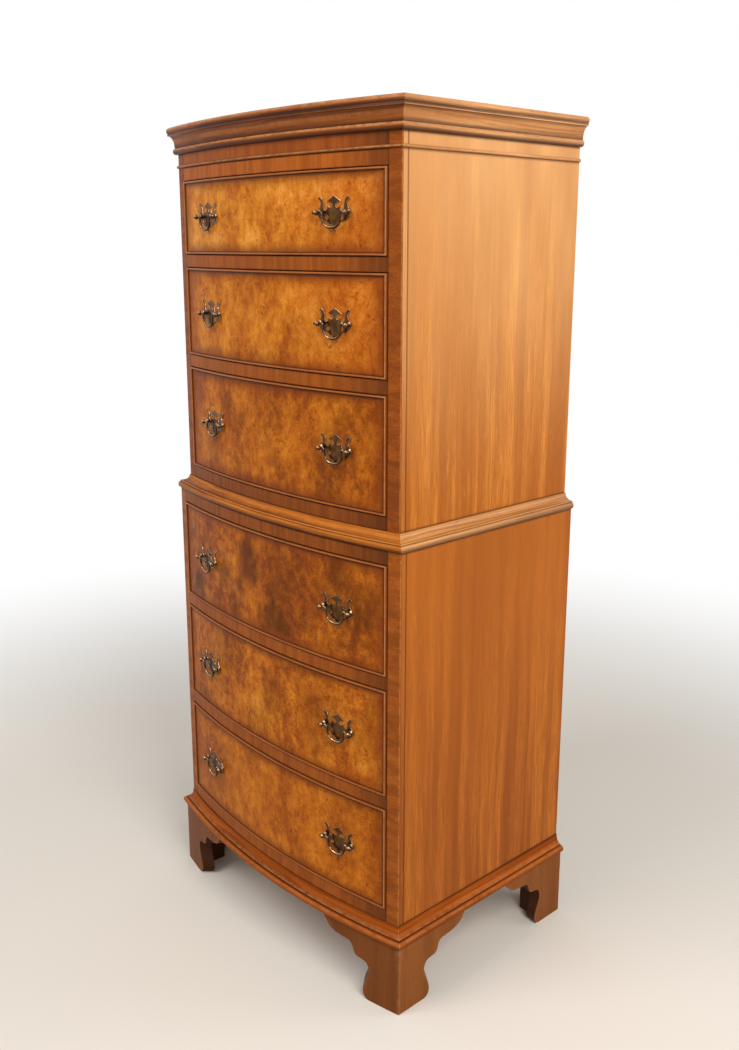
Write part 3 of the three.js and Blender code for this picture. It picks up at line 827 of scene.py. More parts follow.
stile_veneers = {
    case: walnut(f"{case} stile veneer", light, dark, bands=70, contrast=0.7, fineness=900,
                 lines=0.75, pores=0.5, wear_and_highlight=0.7)
    for case, light, dark in (("lower", (0.44, 0.118, 0.0132, 1), (0.205, 0.047, 0.0048, 1)),
                              ("upper", (0.37, 0.093, 0.0105, 1), (0.170, 0.037, 0.0040, 1)))
}
for case, face in case_faces.items():
    outer = half_width + face
    inner = opening_half[case]
    rebate = inner + back_rebate
    bottom, top = node_levels(f"{case}_side_left")
    veneer = side_veneer(f"{case} side veneer", case, bottom, top)
    lipping = side_veneer(f"{case} lipping", case, bottom, top, lines=0.7)
    lip_front = bow_y(outer, face)
    lip_back = lip_front + lipping_depth
    inner_front = bow_y(inner, face)
    for side, hand in hands:
        node = f"{case}_side_{hand}"
        # The stile's inner arris is marked dark: painted shade beside the cockbead.
        plans = {
            "board": [(inner, lip_back + joint_line, None), (inner, back_y - back_thickness, None),
                      (rebate, back_y - back_thickness, None), (rebate, back_y, None),
                      (outer, back_y, 0.5), (outer, lip_back + joint_line, -0.5)],
            "lipping": [(inner, inner_front + stile_thickness, None), (inner, lip_back, None),
                        (outer, lip_back, -0.5), (outer, lip_front + stile_thickness, 0.0)],
            "stile": [(inner, inner_front, -0.8), (inner, inner_front + stile_thickness, None),
                      (outer, lip_front + stile_thickness, None), (outer, lip_front, 0.55)],
        }
        finishes = {"board": (veneer, "side_walnut"), "lipping": (lipping, "side_walnut"),
                    "stile": (stile_veneers[case], "crossbanded_walnut")}
        for part, plan in plans.items():
            outline = [(side * x, y, mark) for x, y, mark in plan]
            # The end marks paint shade, with some dirt, where each piece meets the mouldings above and below.
            mesh = upright(f"{node}_{part}", outline, bottom, top, -0.5)
            material, slot = finishes[part]
            settle(f"{node}_{part}", mesh, f"{case}_chest", node, material)


# The backs: thin plywood panels let into rebates of the side boards, and held there by a row
# of small flat-headed nails along each edge.
panel_gap = 0.0003
panel_arris = 0.0004
nail_radius = 0.0016
nail_rise = 0.0003
nail_inset = 0.006
nail_spacing = 0.075
nail_sides = 12
back_wood = walnut("bare back panel", (0.42, 0.27, 0.15, 1), (0.27, 0.16, 0.085, 1), turn=upright_grain,
                   bands=30, contrast=0.9, pores=0.5, wear_and_highlight=0.2, coat=0.0)

nail_steel, tree = new_material("nail steel")
rust = spread(tree, noise(tree, own_place(tree), 300, 3.0), 0.4, 0.6)
rusted = blended(tree, rust, (0.16, 0.15, 0.14, 1), (0.17, 0.075, 0.035, 1))
surfaced(tree, {"Base Color": rusted, "Metallic": 0.7, "Roughness": spread(tree, rust, 0, 1, 0.4, 0.7)})

nails, given, made = new_shaper("nails along a line", [
    ("Spacing", "Float", nail_spacing),
    ("Radius", "Float", nail_radius),
    ("Rise", "Float", nail_rise),
])
line = add_node(nails, "GeometryNodeMeshToCurve", {"Mesh": given["Geometry"]}).outputs[0]
inputs = {"Curve": line, "Length": given["Spacing"]}
spots = add_node(nails, "GeometryNodeResampleCurve", inputs, mode="LENGTH").outputs[0]
inputs = {"Vertices": nail_sides, "Radius": given["Radius"], "Depth": given["Rise"]}
head = add_node(nails, "GeometryNodeMeshCylinder", inputs).outputs["Mesh"]
inputs = {"Geometry": head, "Rotation": (math.pi / 2, 0, 0)}
turned = add_node(nails, "GeometryNodeTransform", inputs).outputs[0]
heads = add_node(nails, "GeometryNodeInstanceOnPoints", {"Points": spots, "Instance": turned}).outputs[0]
finish_shaper(nails, heads, given, made)

for case in case_faces:
    low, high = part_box(f"{case}_back_panel")
    panel = plank(f"{case}_back", low, high - Vector((0, nail_rise, 0)))
    settle(f"{case}_back", panel, f"{case}_chest", f"{case}_back_panel", back_wood,
           panel_arris)
    left, right = low.x + nail_inset, high.x - nail_inset
    level = high.y - nail_rise / 2
    corners = [(x, level, z) for x, z in ((left, low.z + nail_inset), (right, low.z + nail_inset),
                                          (right, high.z - nail_inset), (left, high.z - nail_inset))]
    loop = bpy.data.meshes.new("nail_line")
    loop.from_pydata(corners, [(0, 1), (1, 2), (2, 3), (3, 0)], [])
    settle(f"{case}_back_nails", shaped("nails", loop, nails, nail_steel), f"{case}_chest",
           f"{case}_back_panel")


# The rails between the drawers: bowed strips, faced with crossbanded walnut whose grain stands
# upright, and plain dust boards behind. They are housed in the side boards.
rail_depth = 0.030
rail_names = ("bottom_board", "divider_low", "divider_high", "top_rail")
rail_light = (0.44, 0.115, 0.012)
rail_dark = (0.20, 0.045, 0.005)
# The rails on either side of the waist are painted darker as shade. The upper case's top rail is lighter.
rail_tone_and_shade_shares = {"upper_bottom_board": 0.74, "upper_top_rail": 1.22, "lower_top_rail": 0.80}
crossband_looks = {"turn": upright_grain, "bands": 90, "contrast": 0.45, "fineness": 1100,
                   "lines": 0.45, "wear_and_highlight": 0.4}
crossband_step = 0.37
dark_end_mark = 0.75
dark_end_reach = 0.09
strip_end_inset = 0.01
bow, given, made = new_shaper("bend to the bow", [
    ("Face", "Float", 0.0),
    ("Bow Radius", "Float", bow_radius),
    ("Bow Centre", "Float", bow_centre_y),
])
flat = flat_lengths(bow)
stand = calculate(bow, "SUBTRACT", given["Face"], flat["Y"])
radius = plus(bow, given["Bow Radius"], stand)
y = bow_depth(bow, flat["X"], radius, given["Bow Centre"])
finish_shaper(bow, moved_to(bow, given["Geometry"], flat["X"], y, flat["Z"]), given, made)


def strip_section(bottom, top, depth):
    """The section of a strip between two levels, with both front arrises painted dark as shade beside the
    drawers and mouldings.
    """
    return [(0, bottom, -0.7), (depth, bottom, None), (depth, top, None), (0, top, -0.9)]


def bowed_strip(name, half, outline, face, material, end_mark=-0.7):
    """A strip of one section, of depths and levels, bent to the bow of a face. It is darker towards its right
    end."""
    points, marks = eased(outline)
    middle = between(-half + strip_end_inset, half - strip_end_inset, front_steps)
    stations = [-half, -half + worn_reach, *middle, half - worn_reach, half]
    rings = [[(x, point.x, point.y) for point in points] for x in stations]
    edges = []
    for x in stations:
        shade = -dark_end_mark * max(0.0, 1 - (half - x) / dark_end_reach)
        edges.append([min(mark, shade) for mark in marks])
    edges[0] = edges[-1] = [end_mark] * len(marks)
    skin = ring_skin(name, rings, edges, runs=stations)
    return shaped(name, skin, bow, material, {"Face": face})


def bowed_board(name, half, face, back, bottom, top, gap=0.0, steps=24):
    """A level board, cut along its front to the bow of a face, or at a gap behind it."""
    front = [(x, bow_y(x, face) + gap, None) for x in between(-half, half, steps)]
    return upright(name, [*front, (half, back, None), (-half, back, None)], bottom, top)


lining_looks = {"light": (0.56, 0.36, 0.18, 1), "dark": (0.38, 0.22, 0.10, 1), "bands": 24,
                "contrast": 0.8, "lines": 0.25, "pores": 0.35, "wear_and_highlight": 0.2, "coat": 0.0}
lining = walnut("drawer lining", **lining_looks)
for case, face in case_faces.items():
    half = opening_half[case]
    for number, rail in enumerate(rail_names):
        node = f"{case}_{rail}"
        bottom, top = node_levels(node)
        light, dark = ([part * rail_tone_and_shade_shares.get(node, 1.0) for part in colour] + [1]
                       for colour in (rail_light, rail_dark))
        veneer = walnut(f"{node} crossband", light, dark, offset=(0, 0, crossband_step * number + face),
                        **crossband_looks)
        strip = bowed_strip(f"{node}_rail", half, strip_section(bottom, top, rail_depth), face, veneer)
        settle(f"{node}_rail", strip, f"{case}_chest", node)
        board = bowed_board(f"{node}_board", half, face - rail_depth, back_y - back_thickness, bottom,
                            top, gap=panel_gap)
        settle(f"{node}_board", board, f"{case}_chest", node, lining)


# The waist moulding: a frame glued on the lower case. The upper chest stands on its ledge
# behind a thin lip, and a cove comes down from the lip to a roll.
waist_height = waist_high - waist_low
ledge_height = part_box("upper_side_left")[0].z - waist_low
waist_roll_height = 0.0115
waist_roll_reach = 0.0041
waist_fillet_reach = 0.0008
waist_fillet_height = 0.002
waist_fillet_worn_height = 0.0007
waist_fillet_top_width = 0.0012
lift_gap = 0.0005
lip_thickness = 0.0009
lip_inside = lift_gap - case_step
waist_cove_foot = waist_roll_height + waist_fillet_height
waist_roll = ((0, waist_roll_height / 2), (waist_roll_reach, waist_roll_height / 2))
waist_cove = ((0, waist_height), (-lip_inside - lip_thickness, waist_height - waist_cove_foot))
# The edge marks paint light and shade on the waist moulding as well as wear and dirt: shade under the roll, a
# highlight high on it, and a bright line on the fillet's arris.
waist_outline = [(-frame_width, 0, 0), (0, 0, -0.9)]
waist_outline += arc_points(*waist_roll, -78, 82, (-1.0, -0.9, -0.4, 0.3, -0.7))
waist_outline += [
    (waist_fillet_reach, waist_roll_height, -1.0),
    (waist_fillet_reach, waist_cove_foot - waist_fillet_worn_height, 0.4),
    (waist_fillet_reach, waist_cove_foot, 1.0),
    (waist_fillet_reach - waist_fillet_top_width, waist_cove_foot, 0.6),
]
waist_outline += arc_points(*waist_cove, 262, 180, (-0.7, 0.25, 0.1, 0.0, 0.1))
waist_outline += [
    (lip_inside, waist_height, -0.5),
    (lip_inside, ledge_height, 0),
    (-frame_width, ledge_height, 0),
]
# The side lengths take a paler, more coated copy of the walnut as a painted sheen.
waist_walnuts_and_sheen = [
    walnut(f"waist walnut {part}", light, dark, from_run=True, bands=120, contrast=1.1, fineness=1100,
           lines=0.45, wear_and_highlight=0.8, coat=coat)
    for part, light, dark, coat in (("front", (0.56, 0.172, 0.016, 1), (0.20, 0.046, 0.005, 1), 0.10),
                                    ("side", (0.68, 0.30, 0.080, 1), (0.32, 0.120, 0.028, 1), 0.50))
]
moulded("waist_moulding", waist_outline, waist_low, 0.0, waist_walnuts_and_sheen, "lower_chest", "waist_moulding")


# The frieze, with the astragal below it and the cornice above: a crossbanded bowed board, a
# small half-round bead, and a solid moulding of a roll, a deep cove and a bead. The flat top
# board lies inside the cornice.
upper_face = case_faces["upper"]
frieze_thickness = 0.020
frieze_low, frieze_high = node_levels("frieze_board")
frieze_veneer = walnut("frieze crossband", (0.43, 0.106, 0.0145, 1), (0.20, 0.044, 0.0058, 1),
                       **crossband_looks)
section = strip_section(frieze_low, frieze_high, frieze_thickness)
frieze = bowed_strip("frieze_band", opening_half["upper"], section, upper_face, frieze_veneer)
settle("frieze_band", frieze, "upper_chest", "frieze_board")

moulding_gap = 0.0003
astragal_reach = 0.0026
astragal_middle = (astragal_high - astragal_low) / 2
case_corner_y = bow_y(half_width, 0.0)
corner_dark_reach = 0.17
# The side lengths take a pale copy of the walnut as a painted sheen, kept darker near the front corner where
# the sheen gives out. The front lengths take the plain copy.
cornice_walnuts_and_sheen = [
    walnut(f"cornice walnut {part}", light, dark, from_run=True, bands=120, contrast=1.0, fineness=1100,
           lines=0.40, wear_and_highlight=0.8, coat=coat, deepened=deepened)
    for part, light, dark, coat, deepened in (
        ("front", (0.37, 0.100, 0.014, 1), (0.14, 0.033, 0.004, 1), 0.18, None),
        ("side", (0.84, 0.42, 0.165, 1), (0.34, 0.125, 0.034, 1), 0.22,
         (0.80, case_corner_y, case_corner_y + corner_dark_reach)))
]
astragal_round = ((moulding_gap, astragal_middle), (astragal_reach - moulding_gap, astragal_middle))
# The edge marks paint a highlight on the astragal's round and shade lines above and below it.
astragal_outline = [(moulding_gap, 0, -1.0)]
astragal_outline += arc_points(*astragal_round, -76, 76, (-0.9, -0.3, 0.4, 0.6, 0.1, -0.3))
astragal_outline += [(moulding_gap, 2 * astragal_middle, -1.0)]
moulded("astragal_bead", astragal_outline, astragal_low, upper_face, cornice_walnuts_and_sheen, "upper_chest",
        "astragal", sharp=60)

cornice_height = cornice_high - cornice_low
cornice_roll_foot = 0.0025
cornice_roll_height = 0.011
cornice_roll_reach = 0.0072
cornice_cove_foot = 0.0045
cornice_cove_height = 0.0195
cornice_cove_reach = 0.0132
cornice_fillet_reach = 0.0142
cornice_fillet_height = 0.002
cornice_bead_reach = 0.0155
cornice_quirk_width = 0.0003
cove_top = cornice_roll_height + cornice_cove_height
fillet_top = cove_top + cornice_fillet_height
bead_radius = (cornice_height - fillet_top) / 2
cornice_roll = ((cornice_roll_foot, cornice_roll_height / 2),
                (cornice_roll_reach - cornice_roll_foot, cornice_roll_height / 2))
cornice_cove = ((cornice_cove_reach, cornice_roll_height),
                (cornice_cove_reach - cornice_cove_foot, cornice_cove_height))
cornice_bead = ((cornice_bead_reach - bead_radius, fillet_top + bead_radius), (bead_radius, bead_radius))
# The edge marks paint light and shade on the cornice as well as wear and dirt: shade under the roll and the
# bead and at both ends of the cove, and highlights high on the roll and the bead.
cornice_outline = [(moulding_gap, 0, -0.9), (cornice_roll_foot, 0, -0.6)]
cornice_outline += arc_points(*cornice_roll, -82, 84, (-1.0, -1.0, -0.7, 0.3, 1.0, -0.3))
cornice_outline += [(cornice_cove_foot, cornice_roll_height, -0.9)]
cornice_outline += arc_points(*cornice_cove, 176, 92, (-0.8, 0.15, 0.25, -0.25, -0.8))
cornice_outline += [
    (cornice_fillet_reach, cove_top, 0.4),
    (cornice_fillet_reach, fillet_top - cornice_quirk_width, -0.9),
]
cornice_outline += arc_points(*cornice_bead, -46, 90, (-1.0, -0.6, 0.2, 0.7, 0.6, -0.6))
cornice_outline += [(moulding_gap, cornice_height, 0)]
moulded("cornice_moulding", cornice_outline, cornice_low, upper_face, cornice_walnuts_and_sheen, "upper_chest",
        "cornice")

top_low, top_high = node_levels("top_board")
top_half = half_width + upper_face
top_veneer = walnut("top veneer", (0.50, 0.19, 0.055, 1), (0.32, 0.105, 0.026, 1), bands=22, contrast=0.9,
                    fineness=420, lines=0.25, wear_and_highlight=0.4)
top_panel = bowed_board("top_panel", top_half, upper_face, back_y, top_low, top_high, steps=40)
settle("top_panel", top_panel, "upper_chest", "top_board", top_veneer)


# The drawer fronts: bowed boards faced with burr walnut. Every drawer's veneer has a figure of
# its own. A cockbead of solid walnut, mitred at its corners, is let in round the edge.
front_thickness = 0.020
bead_width = 0.0033
bead_stand = 0.0025
bead_depth = 0.012
bead_turns = 24
crown_steps = 8
rim_side_reach = 0.060
rim_edge_reach = 0.030
rim_steps = [0.0, 0.0015, 0.0030, 0.0050, 0.012, 0.025]
field_inset = 0.04
field_rows = 4
# How far the bead's painted shadow reaches onto the drawer face at its sides, top and bottom.
side_bead_shadow_width = 0.0050
top_bead_shadow_width = 0.0060
bottom_bead_shadow_width = 0.0022
drawer_looks = {
    1: {"tone": 0.16, "contrast": 0.80, "smoke": 0.10, "halo": 0.15, "red": 0.60},
    2: {"tone": 0.06, "contrast": 0.80, "smoke": 0.20, "halo": 0.10, "red": 0.55},
    3: {"tone": -0.08, "contrast": 0.78, "smoke": 0.45, "halo": 0.42, "red": 0.05},
    4: {"tone": -0.11, "contrast": 0.84, "smoke": 0.90, "halo": 0.20, "red": 0.0},
    5: {"tone": 0.01, "contrast": 0.95, "smoke": 0.40, "halo": 0.15, "red": 0.15},
    6: {"tone": -0.02, "contrast": 0.70, "smoke": 0.20, "halo": 0.10, "red": 0.0},
}
drawer_cases = {number: "upper" if number <= 3 else "lower" for number in drawer_looks}
handle_reach = {"upper": 0.158, "lower": 0.174}
halo_drop = 0.012
halo_span = (0.045, 0.115)
red_span = (-0.05, 0.24)
figure_step_x = 0.61
figure_step_z = 0.43
burr_tones = [
    (0.00, (0.13, 0.026, 0.0020, 1)),
    (0.30, (0.29, 0.066, 0.0035, 1)),
    (0.50, (0.47, 0.128, 0.0060, 1)),
    (0.72, (0.63, 0.215, 0.0150, 1)),
    (1.00, (0.80, 0.36, 0.060, 1)),
]
smoke_colour = (0.080, 0.018, 0.0, 1)
burr_fleck_colour = (0.17, 0.034, 0.003, 1)
eye_colour = (0.10, 0.022, 0.003, 1)
rim_colour = (0.19, 0.036, 0.003, 1)
halo_colour = (0.10, 0.026, 0.004, 1)
red_tint = (0.86, 0.64, 1.0, 1)

# Burr figure: soft upright flames, a cloudy mottle, wispy fibres and small dark eyes
burr, given, made = new_figure("burr figure", [
    ("Tone", "Float", 0.0),
    ("Contrast", "Float", 1.0),
    ("Smoke", "Float", 0.2),
])
curled = warped(burr, warped(burr, given["Vector"], 10.0, 0.030), 42.0, 0.010)
flames = spread(burr, noise(burr, scaled(burr, curled, 16, 16, 9), 1.0, 3.0, 0.55), 0.28, 0.72)
mottle = spread(burr, noise(burr, scaled(burr, curled, 75, 75, 55), 1.0, 5.0, 0.65), 0.28, 0.72)
wisps = spread(burr, noise(burr, curled, 360, 3.0, 0.60), 0.30, 0.70)
value = plus(burr, times(burr, flames, 0.40), times(burr, mottle, 0.38))
value = plus(burr, value, times(burr, wisps, 0.22))
value = times(burr, calculate(burr, "SUBTRACT", value, 0.5), given["Contrast"])
value = plus(burr, value, plus(burr, given["Tone"], 0.5), True)
ramp = add_node(burr, "ShaderNodeValToRGB", {"Fac": value})
while len(ramp.color_ramp.elements) < len(burr_tones):
    ramp.color_ramp.elements.new(0.5)
for stop, (place, colour) in zip(ramp.color_ramp.elements, burr_tones):
    stop.position = place
    stop.color = colour
smoky = spread(burr, noise(burr, scaled(burr, curled, 11, 11, 7), 1.0, 3.0, 0.6), 0.44, 0.70)
smoky = times(burr, smoky, given["Smoke"], True)
colour = blended(burr, smoky, ramp.outputs[0], smoke_colour)
cells = add_node(burr, "ShaderNodeTexVoronoi", {"Vector": curled, "Scale": 95.0}).outputs["Distance"]
clusters = spread(burr, noise(burr, given["Vector"], 24, 2.0), 0.46, 0.64)
flecks = spread(burr, noise(burr, curled, 230, 3.0, 0.6), 0.54, 0.70)
flecks = times(burr, times(burr, flecks, clusters), 0.55)
colour = blended(burr, flecks, colour, burr_fleck_colour)
eyes = times(burr, spread(burr, cells, 0.10, 0.34, 1.0, 0.0), clusters)
colour = blended(burr, times(burr, eyes, 0.60), colour, eye_colour)
burr.links.new(colour, made["Color"])
burr.links.new(wisps, made["Height"])
burr.links.new(spread(burr, mottle, 0, 1, 0.34, 0.27), made["Roughness"])


def burr_veneer(number, handle_place):
    """The burr veneer of one drawer: darker at its rim and where the right handle is used, and redder and
    deeper towards its right end."""
    looks = drawer_looks[number]
    material, tree = new_material(f"burr veneer {number}")
    offset = (figure_step_x * number, 0, figure_step_z * number)
    vector = placed_vector(tree, False, offset, (0, 0, 0))
    figure = grouped(tree, burr, Vector=vector, Tone=looks["tone"], Contrast=looks["contrast"],
                     Smoke=looks["smoke"])
    blotch = noise(tree, vector, 30, 3.0)
    rim = plus(tree, marked(tree, "rim"), times(tree, blotch, 0.35))
    colour = blended(tree, spread(tree, rim, 0.10, 0.90, 0.80, 0.0), figure["Color"], rim_colour)
    deepened = spread(tree, place_along(tree, "X"), *red_span, 0.0, looks["red"])
    colour = blended(tree, deepened, colour, red_tint, "MULTIPLY")
    inputs = {0: own_place(tree), 1: handle_place}
    gap = add_node(tree, "ShaderNodeVectorMath", inputs, operation="DISTANCE").outputs["Value"]
    gap = plus(tree, gap, times(tree, blotch, 0.05))
    halo = spread(tree, gap, *halo_span, looks["halo"], 0.0)
    specks = spread(tree, noise(tree, vector, 170, 4.0, 0.65), 0.36, 0.62, 0.25, 1.0)
    colour = blended(tree, times(tree, halo, specks), colour, halo_colour)
    polished(tree, aged(tree, colour, 0.0, 0.9), figure, 0.10, 0.06)
    return material


bead_walnut = walnut("cockbead walnut", (0.43, 0.118, 0.013, 1), (0.21, 0.048, 0.005, 1), from_run=True,
                     bands=160, contrast=0.8, fineness=900, wear_and_highlight=0.5, coat=0.3)


def bead_shadow_mark(gap, width):
    """How dark the bead's painted shadow is on a face at a gap from the bead, where the shadow runs to a
    width.
    """
    return max(0.0, 1.0 - gap / width)


def fine_stations(low, high, steps):
    """Stations from low to high that lie closer together near both ends."""
    stations = [low + step for step in rim_steps]
    stations += between(low + field_inset, high - field_inset, steps)
    return stations + [high - step for step in reversed(rim_steps)]


def panel_skin(name, half, low, high):
    """A flat drawer face in a fine grid, with the bead's painted shadow along its edges and a mark that grows
    away from its rim.
    """
    heights = fine_stations(low, high, field_rows)
    stations = fine_stations(-half, half, front_steps)
    rings = []
    edges = []
    for x in stations:
        rings.append([(x, 0.0, z) for z in heights] + [(x, front_thickness, high), (x, front_thickness, low)])
        side_mark = bead_shadow_mark(min(x + half, half - x), side_bead_shadow_width)
        marks = [max(side_mark, bead_shadow_mark(high - z, top_bead_shadow_width),
                     bead_shadow_mark(z - low, bottom_bead_shadow_width)) for z in heights]
        edges.append([-mark for mark in marks] + [0.0, 0.0])
    mesh = ring_skin(name, rings, edges, runs=stations)
    rim = mesh.attributes.new("rim", "FLOAT", "POINT")
    for corner, value in zip(mesh.vertices, rim.data):
        x, y, z = corner.co
        side_share = min(x + half, half - x) / rim_side_reach
        edge_share = min(z - low, high - z) / rim_edge_reach
        value.value = min(side_share, edge_share, 1.0)
    return mesh


def bead_skin(name, half, low, high):
    """The flat cockbead: its section taken round the rectangle of the drawer's edge."""
    round_radius = bead_width / 2
    shoulder = bead_stand - round_radius
    half_way = shoulder * 0.4
    # The section's marks paint a narrow highlight on the crown, shade on the flanks, and dark shadow lines at
    # the bead's foot on both sides.
    section = [(0.0, bead_depth, 0.0), (0.0, 0.0, -0.9), (0.0, -half_way, 0.0)]
    for i in range(crown_steps + 1):
        angle = math.pi * (1 - i / crown_steps)
        crown = math.sin(angle)
        section.append((round_radius * (1 + math.cos(angle)), -shoulder - round_radius * crown,
                        0.4 * crown ** 6 - 0.6 * (1 - crown)))
    section += [(bead_width, -half_way, -0.2), (bead_width, 0.0, -0.9), (bead_width, bead_depth, 0.0)]
    middle = between(-1, 1, bead_turns)[1:-1]
    path = [(-half, low, 1, 1)] + [(x * half, low, 0, 1) for x in middle] + [(half, low, -1, 1)]
    path += [(half, high, -1, -1)] + [(-x * half, high, 0, -1) for x in middle] + [(-half, high, 1, -1)]
    rings = []
    edges = []
    for x, z, inward_x, inward_z in path:
        rings.append([(x + inward_x * across, depth, z + inward_z * across)
                      for across, depth, mark in section])
        # The upright beads get a stronger painted highlight on the crown.
        bonus = 0.5 if inward_x else 0.0
        edges.append([mark + bonus if mark > 0 else mark for across, depth, mark in section])
    return ring_skin(name, rings, edges, closed=True)


for number, case in drawer_cases.items():
    node = f"drawer_{number}_front"
    face = case_faces[case]
    low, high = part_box(node)
    half = high.x
    middle = (low.z + high.z) / 2
    reach = handle_reach[case]
    veneer = burr_veneer(number, (reach, bow_y(reach, face), middle - halo_drop))
    panel = panel_skin(node, half - bead_width, low.z + bead_width, high.z - bead_width)
    panel = shaped(node, panel, bow, veneer, {"Face": face})
    settle(f"drawer_{number}_panel", panel, f"drawer_{number}", node)
    bead = shaped(node, bead_skin(node, half, low.z, high.z), bow, bead_walnut, {"Face": face})
    settle(f"drawer_{number}_cockbead", bead, f"drawer_{number}", node, sharp=70)


# The drawer boxes: sides, a back and a thin bottom of plain lining wood, glued up behind each
# front. The bottom is let in above the lower edges, on which the drawer runs.
lining_thickness = 0.010
drawer_bottom_thickness = 0.006
drawer_bottom_lift = 0.007
drawer_back_drop = 0.004
side_lining = walnut("drawer side lining", turn=endways_grain, **lining_looks)
for number, case in drawer_cases.items():
    node = f"drawer_{number}_box"
    face = case_faces[case]
    low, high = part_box(node)
    half = high.x
    inside = half - lining_thickness
    box_face = face - front_thickness - moulding_gap
    floor_low = low.z + drawer_bottom_lift
    floor_high = floor_low + drawer_bottom_thickness
    body = f"drawer_{number}"
    plan = [(inside, bow_y(inside, box_face)), (half, bow_y(half, box_face)), (half, high.y),
            (inside, high.y)]
    for side, hand in hands:
        board = upright(f"{node}_{hand}", [(side * x, y, None) for x, y in plan], low.z, high.z)
        settle(f"{node}_{hand}", board, body, node, side_lining, board_arris)
    back_low = (-inside, high.y - lining_thickness, floor_high)
    back_high = (inside, high.y, high.z - drawer_back_drop)
    board = plank(f"{node}_back", back_low, back_high)
    settle(f"{node}_back", board, body, node, lining, board_arris)
    board = bowed_board(f"{node}_bottom", inside, box_face, high.y, floor_low, floor_high)
    settle(f"{node}_bottom", board, body, node, lining)


# The handles' back plates: cast brass in the batwing form, pierced with two holes, each with
# two round-headed posts that pass through the drawer front to nuts inside.
post_reach = 0.0285
plate_half_width = 0.0312
plate_rise = 0.0235
plate_thickness = 0.0016
plate_edge = 0.0005
piercing_radius = 0.0033
piercing_reach = 0.0134
piercing_drop = 0.0065
pivot_stand = 0.0088
shank_radius = 0.0022
head_radius = 0.0039
nut_radius = 0.005
nut_thickness = 0.0035
nut_gap = 0.0009
plate_gap = 0.0001
post_tip_radius = 0.0010
crown_radius = 0.0003
collar_rows = [(0.0042, 0.0), (0.0044, 0.0006), (0.0038, 0.0012), (0.0026, 0.0018), (0.0022, 0.0026)]
head_turns = [math.radians(degrees) for degrees in range(-56, 90, 12)]
lathe_sides = 24
brass_relief_depth = 0.0003
# Bare metal at rubbed edges, and the colour of the painted highlights.
bare_brass_and_highlight = (0.80, 0.55, 0.32, 1)

# The right half of the plate, from its tip down, as shares of its half width and of its rise.
# S is a smooth point, and C a corner.
plate_half_shares = [
    (0.00, 1.00, "C"), (0.18, 0.86, "S"), (0.47, 0.65, "C"), (0.30, 0.61, "S"), (0.15, 0.54, "S"),
    (0.10, 0.42, "S"), (0.19, 0.31, "S"), (0.39, 0.43, "C"), (0.42, 0.25, "S"), (0.49, 0.15, "S"),
    (0.57, 0.19, "S"), (0.62, 0.33, "S"), (0.63, 0.52, "S"), (0.66, 0.70, "S"), (0.74, 0.85, "S"),
    (0.85, 0.94, "S"), (0.95, 0.89, "S"), (0.95, 0.79, "S"), (0.87, 0.71, "S"), (0.82, 0.57, "S"),
    (0.85, 0.38, "S"), (0.95, 0.20, "S"), (1.00, 0.02, "S"), (0.97, -0.22, "S"), (0.90, -0.36, "C"),
    (0.82, -0.42, "S"), (0.74, -0.50, "C"), (0.55, -0.49, "S"), (0.40, -0.56, "S"), (0.27, -0.68, "S"),
    (0.14, -0.72, "C"), (0.10, -0.90, "S"), (0.00, -1.13, "C"),
]
right_half = [(u * plate_half_width, v * plate_rise, kind) for u, v, kind in plate_half_shares]
left_half = [(-x, z, kind) for x, z, kind in reversed(right_half[1:-1])]

sheet = bpy.data.curves.new("batwing", "CURVE")
sheet.dimensions = "2D"
sheet.fill_mode = "BOTH"
sheet.resolution_u = 4
sheet.extrude = plate_thickness / 2 - plate_edge
sheet.bevel_depth = plate_edge
sheet.bevel_resolution = 1
sheet.offset = -plate_edge
edge_line = sheet.splines.new("BEZIER")
edge_line.bezier_points.add(len(right_half) + len(left_half) - 1)
for point, (x, z, kind) in zip(edge_line.bezier_points, right_half + left_half):
    point.co = (x, z, 0)
    point.handle_left_type = point.handle_right_type = "AUTO" if kind == "S" else "VECTOR"
edge_line.use_cyclic_u = True
for side in (-1, 1):
    hole = sheet.splines.new("BEZIER")
    hole.bezier_points.add(3)
    for quarter, point in enumerate(hole.bezier_points):
        angle = quarter * math.pi / 2
        point.co = (side * piercing_reach + piercing_radius * math.cos(angle),
                    piercing_radius * math.sin(angle) - piercing_drop, 0)
        point.handle_left_type = point.handle_right_type = "AUTO"
    hole.use_cyclic_u = True
source = bpy.data.objects.new("batwing_source", sheet)
scene.collection.objects.link(source)
batwing = made_plain("batwing", source)


def lathed(name, profile, reach):
    """A turned piece along -Y at a reach along X, from pairs of radius and stand."""
    rings = []
    for radius, stand in profile:
        turns = [2 * math.pi * i / lathe_sides for i in range(lathe_sides)]
        rings.append([(reach + radius * math.cos(turn), -stand, radius * math.sin(turn)) for turn in turns])
    return ring_skin(name, rings, [0.0] * lathe_sides)


nut_face = -front_thickness - nut_gap
post_profile = [(post_tip_radius, nut_face - nut_thickness), (nut_radius, nut_face - nut_thickness),
                (nut_radius, nut_face), (shank_radius, nut_face), (shank_radius, plate_thickness)]
post_profile += [(radius, plate_thickness + rise) for radius, rise in collar_rows]
post_profile += [(head_radius * math.cos(turn), pivot_stand + head_radius * math.sin(turn))
                 for turn in head_turns]
post_profile += [(crown_radius, pivot_stand + head_radius)]


